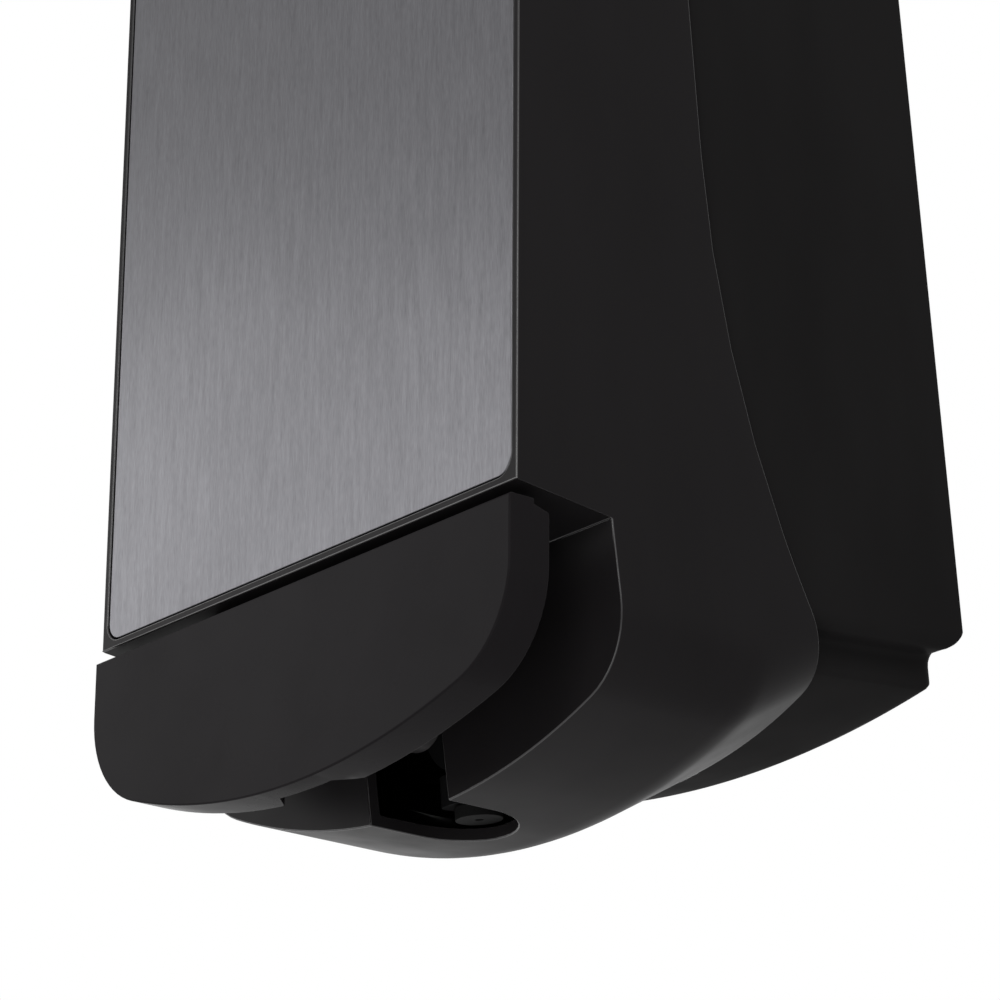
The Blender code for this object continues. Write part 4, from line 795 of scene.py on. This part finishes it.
def case_outline(half, top, upper_r, bottom, lower_r, chin_half, ledge_r, lowest, chin_arc, chin_r):
    """Half of the case seen from the front, in nine runs with CASE_STEPS steps in each.

    They are the top, its corner, the side, its lower corner, the ledge, the hollow corner, the chin's
    side, its corner and its arc.
    """
    drop = corner_drop(chin_half, chin_r, chin_arc)
    swing = math.degrees(math.atan2(chin_half - chin_r, chin_arc - drop))
    inner = chin_half + ledge_r
    runs = [(line, (0, top), (half - upper_r, top)),
            (round_run, (half - upper_r, top - upper_r), upper_r, 90, 0),
            (line, (half, top - upper_r), (half, bottom + lower_r)),
            (round_run, (half - lower_r, bottom + lower_r), lower_r, 0, -90),
            (line, (half - lower_r, bottom), (inner, bottom)),
            (round_run, (inner, bottom - ledge_r), ledge_r, 90, 180),
            (line, (chin_half, bottom - ledge_r), (chin_half, lowest + drop)),
            (round_run, (chin_half - chin_r, lowest + drop), chin_r, 0, swing - 90),
            (round_run, (0, lowest + chin_arc), chin_arc, swing - 90, -90)]
    parts = [run(*values, steps) for (run, *values), steps in zip(runs, CASE_STEPS)]
    return np.concatenate([parts[0]] + [part[1:] for part in parts[1:]])


def outer_outline(side, under):
    """Outside of the case drawn in by one distance at top and sides, and by another underneath."""
    return case_outline(SHELL_HALF - side, SHELL_TOP - side, UPPER_R - side, SHELL_BOTTOM + under,
                        max(LOWER_R - under, LEAST_R), CHIN_HALF - under, LEDGE_R + under,
                        CHIN_LOWEST + under, CHIN_ARC_R - under, max(CHIN_CORNER_R - under, LEAST_R))


def at_depth(outline, y):
    """Points (x, height) of an outline, set at a depth or at depths of their own."""
    return np.stack([outline[:, 0], np.broadcast_to(y, len(outline)), outline[:, 1]], 1)


def case_mesh():
    """Loops from the wall side round its eased edge, forward along the sides and under the hood's edge.

    They go on round the rim and back along the inside to the wall plate.  The share called chin grows
    from 0 to 1 along the hollow corner, and the rear edge's round grows along the lower corner.
    """
    outer = outer_outline(0, 0)
    rim = case_outline(RIM_HALF, RIM_TOP, RIM_CORNER_R, RIM_BOTTOM, RIM_CORNER_R, CHIN_HALF, RIM_CORNER_R,
                       CHIN_LOWEST, CHIN_ARC_R, CHIN_CORNER_R)
    inner, hollow = (case_outline(half - SHELL_WALL, top - SHELL_WALL, RIM_CORNER_R, bottom + SHELL_WALL,
                                  RIM_CORNER_R, CHIN_HALF - CHIN_WALL, INNER_LEDGE_R,
                                  CHIN_LOWEST + CHIN_WALL, CHIN_ARC_R - CHIN_WALL, RIM_CORNER_R)
                     for half, top, bottom in ((RIM_HALF, RIM_TOP, RIM_BOTTOM),
                                               (SHELL_HALF, SHELL_TOP, SHELL_BOTTOM)))
    corner_start, ledge_end = sum(CASE_STEPS[:3]), sum(CASE_STEPS[:5])
    row = np.arange(len(outer))
    chin = np.clip((row - ledge_end) / CASE_STEPS[5], 0, 1)
    ease = SIDE_ROUND + (UNDER_ROUND - SIDE_ROUND) * np.clip((row - corner_start) / CASE_STEPS[3], 0, 1)
    edge = (rear_edge_y(outer[:, 1]) + EDGE_GAP) * (1 - chin) + CHIN_FRONT_Y * chin
    rim_front = (rear_edge_y(rim[:, 1]) - RIM_REACH) * (1 - chin) + CHIN_FRONT_Y * chin
    rim = rim * (1 - chin[:, None]) + outer * chin[:, None]
    loops = [at_depth(outer_outline(SIDE_ROUND * (1 - s), UNDER_ROUND * (1 - s)), -ease * (1 - c))
             for s, c in ((math.sin(t), math.cos(t)) for t in line(0, math.pi / 2, EASE_STEPS))]
    loops += [at_depth(outer, -ease + (edge + ease) * share) for share in line(0, 1, DEPTH_STEPS)[1:]]
    root = edge + SHELL_WALL
    loops += [at_depth(rim, edge), at_depth(rim, rim_front), at_depth(inner, rim_front),
              at_depth(inner, root), at_depth(hollow, root), at_depth(hollow, -SHELL_WALL)]
    return shell_of("wall_case", [np.stack(loops)], [loops[0], loops[-1]])


def shelf_meshes():
    """Shelf with its two ribs, the lock's hook, and the lugs that hold the hinge rod."""
    half, wide = RIM_HALF - SHELL_WALL + SHELF_SINK, SHELL_HALF - SHELL_WALL + SHELF_SINK
    rear = -SHELL_WALL / 2
    root = rear_edge_y(SHELF_BOTTOM) + EDGE_GAP + SHELL_WALL
    plan = [(0, SHELF_FRONT_Y), (half, SHELF_FRONT_Y), (half, root), (wide, root), (wide, rear),
            (0, rear)]
    plan = np.array(plan + [(-x, y) for x, y in plan[-2:0:-1]] + plan[:1])
    board = np.stack([np.column_stack([plan, np.full(len(plan), z)]) for z in (SHELF_BOTTOM, SHELF_TOP)])
    rib = [(rear, SHELL_BOTTOM + SHELL_WALL), (rear, SHELF_BOTTOM + RIB_SINK),
           (RIB_FRONT_Y, SHELF_BOTTOM + RIB_SINK), (RIB_FRONT_Y, SHELF_BOTTOM - RIB_NOSE)]
    hook_rear = REAR_EDGE_Y - RIM_REACH + HOOK_ROOT_REAR
    hook_front = REAR_EDGE_Y - RIM_REACH + HOOK_ROOT_FRONT
    hook = [(HOOK_FRONT_Y, HOOK_LOWEST), (HOOK_LIP_Y, HOOK_LOWEST), (HOOK_LIP_Y, HOOK_UNDER),
            (hook_rear, HOOK_UNDER), (hook_rear, HOOK_ROOT_TOP), (hook_front, HOOK_ROOT_TOP),
            (hook_front, HOOK_TOP), (HOOK_FRONT_Y, HOOK_TOP)]
    made = [shell_of("shelf", [board], [board[0, :-1], board[1, :-1]], False),
            prism(rib, RIB_START, RIB_END, True), prism(hook, HOOK_START, HOOK_END)]
    for start in ROD_LUG_STARTS:
        made.append(eye(HINGE, ROD_LUG_R, HINGE_HOLE_R, ROD_LUG_REACH, -90, start, start + ROD_LUG_WIDTH))
    return made


def splash_walls():
    """Thin wall at the chin's front edge, with gaps for the hood's arms, that keeps drips and light out.

    Its foot follows the bowl's inner skin at a small clearance: the shallow arc, then the corner circle.
    """
    half, corner, wide = HALF_WIDTH - COVER_WALL, BOWL_CORNER_R - COVER_WALL, BOWL_ARC_R - COVER_WALL
    drop = corner_drop(half, corner, wide)
    touch = wide * (half - corner) / math.hypot(half - corner, wide - drop)
    floor = bowl_floor(np.array(CHIN_FRONT_Y), COVER_WALL) + SPLASH_CLEARANCE
    made = []
    for start, end, both_sides in ((ARM_GAP - ARM_START, ARM_START - ARM_GAP, False),
                                   (ARM_END + ARM_GAP, RIM_HALF - SPLASH_SIDE_GAP, True)):
        x = line(start, end, SPLASH_STEPS)
        shallow = wide - np.sqrt(wide ** 2 - x ** 2)
        steep = drop - np.sqrt(np.maximum(corner ** 2 - np.maximum(x - half + corner, 0) ** 2, 0))
        foot = floor + np.where(x > touch, steep, shallow)
        chin = CHIN_LOWEST + CHIN_WALL / 2 + CHIN_ARC_R - np.sqrt(CHIN_ARC_R ** 2 - x ** 2)
        head = np.where(x > CHIN_HALF - CHIN_WALL / 2, SHELL_BOTTOM + CHIN_WALL, chin)
        ring = np.stack([np.concatenate([x, x[::-1], x[:1]]),
                         np.concatenate([foot, head[::-1], foot[:1]])], 1)
        loops = [at_depth(ring, CHIN_FRONT_Y), at_depth(ring, CHIN_FRONT_Y + SPLASH_WALL)]
        ends = [loop[:-1] for loop in loops]
        made.append(shell_of("splash_wall", [np.stack(loops)], ends, both_sides))
    return made


DRILL_LENGTH = 0.02
DRILL_SIDES = 32


def drilled(mesh, name, cutters):
    """Mesh with holes cut by solids, each a box as (low, high) or a drill as (middle, radius, axis)."""
    made = bpy.data.objects.new(name, mesh)
    bpy.context.scene.collection.objects.link(made)
    for cutter in cutters:
        work = bmesh.new()
        if len(cutter) == 2:
            low, high = (Vector(corner) for corner in cutter)
            place = Matrix.LocRotScale((low + high) / 2, None, high - low)
            bmesh.ops.create_cube(work, size=1, matrix=place)
        else:
            middle, radius, axis = cutter
            turn = Matrix.Rotation(math.pi / 2, 4, "X") if axis == "Y" else Matrix.Identity(4)
            bmesh.ops.create_cone(work, cap_ends=True, segments=DRILL_SIDES, radius1=radius,
                                  radius2=radius, depth=DRILL_LENGTH,
                                  matrix=Matrix.Translation(middle) @ turn)
        tool_mesh = bpy.data.meshes.new("cutter")
        work.to_mesh(tool_mesh)
        work.free()
        tool_mesh.transform(Matrix.Translation((0, 0, FOOT)))
        tool = bpy.data.objects.new("cutter", tool_mesh)
        bpy.context.scene.collection.objects.link(tool)
        hole = made.modifiers.new("hole", "BOOLEAN")
        hole.operation = "DIFFERENCE"
        hole.object = tool
    bpy.context.view_layer.update()
    result = bpy.data.meshes.new_from_object(made.evaluated_get(bpy.context.evaluated_depsgraph_get()))
    for other in [made] + [m.object for m in made.modifiers]:
        bpy.data.objects.remove(other, do_unlink=True)
    return result


def case_holes():
    """Four wall screw holes and the notches that let the hood's arms swing."""
    holes = []
    for side in (-1, 1):
        for height in WALL_SCREW_HEIGHTS:
            holes.append(((side * WALL_SCREW_X, 0, height), WALL_HOLE_R, "Y"))
    for side in (-1, 1):
        left, right = sorted((side * (ARM_START - ARM_GAP), side * (ARM_END + ARM_GAP)))
        holes.append(((left, CHIN_FRONT_Y - ARM_NOTCH_MARGIN, CHIN_LOWEST - ARM_NOTCH_MARGIN),
                      (right, ARM_NOTCH_REAR_Y, HINGE[1])))
    return holes


case_black = moulded_plastic("case_black", (0.0094, 0.0090, 0.0091), roughness=0.34, specular=0.002)
shelf, *fittings = shelf_meshes()
shelf = drilled(shelf, "shelf", [(OUTLET_MIDDLE, OUTLET_HOLE_R, "Z")])
walls = drilled(case_mesh(), "case", case_holes())
case = piece("wall_case", joined([walls, shelf, *fittings, *splash_walls()]), "base", "shell_plastic",
             "back_shell")
painted(eased(case, CASE_EDGE_R), case_black)

# Foam tape: two strips of white acrylic foam, glued on both faces and cut from a roll.
# They hold the steel sheet in the hood's pocket, which hides them.
TAPE_WHITE = (0.62, 0.62, 0.60)
CELL_WHITE = (0.6944, 0.6944, 0.672)
FOAM_SCALE = 1400
CELL_HEIGHT = 0.0002
FLAT_ANGLE = math.radians(0.3)
SMALL_EDGE_R = 0.0002


def merged(node):
    """Mesh of a node's solid, its loose triangles joined at their corners and its flats made whole."""
    solid = frame["nodes"][node].data
    points = np.empty(len(solid.vertices) * 3, np.float32)
    solid.vertices.foreach_get("co", points)
    corners = np.empty(len(solid.loops), np.int32)
    solid.loops.foreach_get("vertex_index", corners)
    mesh = bpy.data.meshes.new(node)
    mesh.from_pydata(points.reshape(-1, 3).tolist(), [], corners.reshape(-1, 3).tolist())
    work = bmesh.new()
    work.from_mesh(mesh)
    bmesh.ops.remove_doubles(work, verts=work.verts, dist=SAME_POINT)
    bmesh.ops.dissolve_limit(work, angle_limit=FLAT_ANGLE, verts=work.verts, edges=work.edges)
    work.to_mesh(mesh)
    work.free()
    return mesh


def dressed(name, node, body, slot, material, edge=SMALL_EDGE_R):
    """Finished piece on a node's solid: round faces smooth, and every sharp edge eased a little."""
    made = piece(name, merged(node), body, slot, node)
    return painted(eased(made, edge, angle=35, segments=2), material)


def acrylic_foam():
    """Closed-cell foam: small pale cells, matt, with a soft pimpled relief."""
    material, tree, shader, place = begun("acrylic_foam")
    cells = noise(tree, place, FOAM_SCALE, 3)
    tree.links.new(blended(tree, cells, TAPE_WHITE, CELL_WHITE), shader.inputs["Base Color"])
    tree.links.new(spread(tree, cells, 0.3, 0.7, 0.75, 0.95), shader.inputs["Roughness"])
    raised(tree, shader, cells, 0.5, CELL_HEIGHT)
    return material


foam_white = acrylic_foam()
for side in ("left", "right"):
    painted(frame["nodes"]["plate_tape_" + side], foam_white)

# Rods: the push bar's rod in the hood's lugs and the hood's hinge rod in the case's chin.
# Both are drawn stainless wire, cut to length, deburred and pushed through their eyes.
DIE_MARK_DEPTH = 0.00002


def drawn_steel(name, colour, roughness, rings):
    """Drawn wire: a metal whose gloss changes in fine rings or dots, with faint marks of the die."""
    material, tree, shader, place = begun(name)
    marks = noise(tree, place, 1, 3, rings)
    dark = [c * 0.85 for c in colour]
    share = spread(tree, marks, 0.3, 0.7, 0, 1)
    tree.links.new(blended(tree, share, dark, colour), shader.inputs["Base Color"])
    gloss = spread(tree, marks, 0.3, 0.7, roughness - 0.05, roughness + 0.06)
    tree.links.new(gloss, shader.inputs["Roughness"])
    raised(tree, shader, marks, 0.15, DIE_MARK_DEPTH)
    shader.inputs["Metallic"].default_value = 1
    return material


rod_steel = drawn_steel("drawn_stainless", (0.46, 0.46, 0.47), 0.26, (60, 2400, 2400))
dressed("bar_rod", "lever_rod", "cover", "rod_steel", rod_steel)
dressed("hinge_rod", "cover_hinge_rod", "base", "rod_steel", rod_steel)

# Lock: turned zinc barrel in the hood's top, held by a nut from inside, with a stamped cam under it.
# The cam is screwed to the barrel's foot and hooks behind the case's hook at a quarter turn.
LOCK_EDGE_R = 0.00015
cast_zinc = drawn_steel("cast_zinc", (0.40, 0.40, 0.41), 0.40, (900, 900, 900))
for name, node, body in (("lock_nut_ring", "lock_nut", "cover"), ("key_barrel", "lock_barrel", "lock"),
                         ("hook_cam", "lock_cam", "lock"), ("cam_fixing", "cam_screw", "lock")):
    dressed(name, node, body, "zinc", cast_zinc, LOCK_EDGE_R)

# Tank: blow-moulded polyethylene bottle, milky and slightly waxy, that stands on the case's shelf.
# Its white lid turns on a steel pin at the neck, and a rubber ring seals its spigot.
TANK_THIN = (0.56, 0.58, 0.56)
TANK_THICK = (0.68, 0.70, 0.68)
TANK_EDGE_R = 0.0005
LID_EDGE_R = 0.0003
FINE_EDGE_R = 0.0001
RIPPLE_HEIGHT = 0.0002


def milky_polyethylene():
    """Waxy white: a colour that clouds slowly with the wall's thickness, and a soft uneven gloss."""
    material, tree, shader, place = begun("milky_polyethylene")
    cloud = spread(tree, noise(tree, place, 18, 3), 0.3, 0.7, 0, 1)
    tree.links.new(blended(tree, cloud, TANK_THIN, TANK_THICK), shader.inputs["Base Color"])
    gloss = spread(tree, noise(tree, place, 60, 4), 0.3, 0.7, 0.38, 0.50)
    tree.links.new(gloss, shader.inputs["Roughness"])
    raised(tree, shader, noise(tree, place, 260, 2), 0.15, RIPPLE_HEIGHT)
    return material


lid_white = moulded_plastic("lid_white", (0.70, 0.70, 0.68), roughness=0.42, specular=0.4, grain=0.10,
                            cloud=0.03)
seal_black = moulded_plastic("seal_rubber", (0.0050, 0.0050, 0.0050), roughness=0.62, specular=0.04,
                             grain=0.30, cloud=0.15)
dressed("soap_tank", "reservoir", "base", "tank_plastic", milky_polyethylene(), TANK_EDGE_R)
dressed("filler_lid", "reservoir_lid", "lid", "lid_plastic", lid_white, LID_EDGE_R)
dressed("lid_hinge_pin", "lid_pin", "base", "rod_steel", rod_steel, FINE_EDGE_R)
dressed("spigot_ring", "outlet_seal", "base", "seal_rubber", seal_black, FINE_EDGE_R)

# Pump: cylinder, gland and spout of black acetal, screwed up under the shelf with two plated screws.
# The button and piston slide in it, rubber flaps open and close its ways, and a wire spring returns it.
BUTTON_EDGE_R = 0.0003
pump_black = moulded_plastic("pump_acetal", (0.0050, 0.0050, 0.0052), roughness=0.36, specular=0.03)
button_black = moulded_plastic("button_black", (0.0130, 0.0120, 0.0125), roughness=0.40, specular=0.14)
for name, node, body in (("pump_cylinder", "pump_housing", "base"), ("pump_guide", "pump_gland", "base"),
                         ("soap_spout", "spout", "base"), ("plunger_rod", "pump_piston", "plunger")):
    dressed(name, node, body, "pump_plastic", pump_black)
dressed("plunger_button", "push_button", "plunger", "lever_plastic", button_black, BUTTON_EDGE_R)
for name, node, body in (("inlet_flap", "inlet_valve", "base"), ("drip_flap", "spout_valve", "base"),
                         ("plunger_ring", "piston_seal", "plunger")):
    dressed(name, node, body, "seal_rubber", seal_black, FINE_EDGE_R)
for side in ("left", "right"):
    dressed("pump_fixing_" + side, "pump_screw_" + side, "base", "zinc", cast_zinc, FINE_EDGE_R)
spring = piece("wire_spring", merged("return_spring"), "base", "rod_steel", "return_spring")
painted(spring, rod_steel)
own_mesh(spring)

# Stage: white background, a plain pale floor that is clear from below, soft lamps, and the camera.
# The camera stands in front to the right and a little below, as in the photograph.
CAMERA_PLACE = (0.5354, -0.5202, -0.2966)
CAMERA_AZIMUTH = math.radians(49.251)
CAMERA_ELEVATION = math.radians(-17.104)
CAMERA_ROLL = math.radians(-3.764)
CAMERA_LENS = 139.5
SENSOR = 36.0
NEAREST = 0.01
FLOOR_HEIGHT = -0.52
FLOOR_HALF = 6
FLOOR_PALE = 0.92
WORLD_LIGHT = 0.8


def camera():
    """The view's back direction comes from the azimuth and elevation, then the picture is rolled."""
    a, e, r = CAMERA_AZIMUTH, CAMERA_ELEVATION, CAMERA_ROLL
    back = Vector((math.sin(a) * math.cos(e), -math.cos(a) * math.cos(e), math.sin(e)))
    right = Vector((math.cos(a), math.sin(a), 0))
    up = back.cross(right)
    across = right * math.cos(r) + up * math.sin(r)
    upright = up * math.cos(r) - right * math.sin(r)
    data = bpy.data.cameras.new("camera")
    data.sensor_width = SENSOR
    data.lens = CAMERA_LENS
    data.clip_start = NEAREST
    made = bpy.data.objects.new("camera", data)
    bpy.context.scene.collection.objects.link(made)
    turn = Matrix((across, upright, back)).transposed().to_4x4()
    made.matrix_world = Matrix.Translation(CAMERA_PLACE) @ turn
    bpy.context.scene.camera = made


def lamp(name, place, size, power, aim=(0, -0.05, 0)):
    """Square soft lamp that faces a point of the dispenser."""
    data = bpy.data.lights.new(name, "AREA")
    data.size = size
    data.energy = power
    made = bpy.data.objects.new(name, data)
    bpy.context.scene.collection.objects.link(made)
    made.location = place
    made.rotation_mode = "QUATERNION"
    made.rotation_quaternion = (Vector(aim) - Vector(place)).to_track_quat("-Z", "Y")


def white_world(strength):
    """White to the camera, mirrors and glass, and a gentle grey light to everything else."""
    world = bpy.data.worlds.new("studio")
    bpy.context.scene.world = world
    world.use_nodes = True
    tree = world.node_tree
    path = tree.nodes.new("ShaderNodeLightPath")
    seen = path.outputs["Is Camera Ray"]
    for name in ("Is Glossy Ray", "Is Transmission Ray"):
        both = tree.nodes.new("ShaderNodeMath")
        both.operation = "MAXIMUM"
        tree.links.new(seen, both.inputs[0])
        tree.links.new(path.outputs[name], both.inputs[1])
        seen = both.outputs["Value"]
    span = tree.nodes.new("ShaderNodeMapRange")
    span.inputs["To Min"].default_value = strength
    tree.links.new(seen, span.inputs["Value"])
    background = tree.nodes["Background"]
    background.inputs["Color"].default_value = (1, 1, 1, 1)
    tree.links.new(span.outputs["Result"], background.inputs["Strength"])


def pale_floor():
    """Wide flat floor; from below it lets the view through."""
    mesh = bpy.data.meshes.new("floor")
    corners = [(x * FLOOR_HALF, y * FLOOR_HALF, FLOOR_HEIGHT)
               for x, y in ((-1, -1), (1, -1), (1, 1), (-1, 1))]
    mesh.from_pydata(corners, [], [(0, 1, 2, 3)])
    floor = bpy.data.objects.new("floor", mesh)
    bpy.context.scene.collection.objects.link(floor)
    material = bpy.data.materials.new("floor")
    material.use_nodes = True
    tree = material.node_tree
    shader = tree.nodes["Principled BSDF"]
    shader.inputs["Base Color"].default_value = (FLOOR_PALE, FLOOR_PALE, FLOOR_PALE, 1)
    shader.inputs["Roughness"].default_value = 0.9
    clear = tree.nodes.new("ShaderNodeBsdfTransparent")
    mix = tree.nodes.new("ShaderNodeMixShader")
    tree.links.new(tree.nodes.new("ShaderNodeNewGeometry").outputs["Backfacing"], mix.inputs["Fac"])
    tree.links.new(shader.outputs["BSDF"], mix.inputs[1])
    tree.links.new(clear.outputs["BSDF"], mix.inputs[2])
    tree.links.new(mix.outputs["Shader"], tree.nodes["Material Output"].inputs["Surface"])
    floor.data.materials.append(material)


camera()
white_world(WORLD_LIGHT)
pale_floor()
lamp("key", (0.80, -1.15, 0.42), size=0.45, power=6)
lamp("side", (1.5, -0.4, 0.5), size=0.9, power=4)
lamp("sheen", (-0.86, -0.82, 0.14), size=0.7, power=4.2)
lamp("under", (0.15, -0.45, -0.5), size=0.5, power=1.2)
bpy.context.scene.view_settings.view_transform = "Standard"
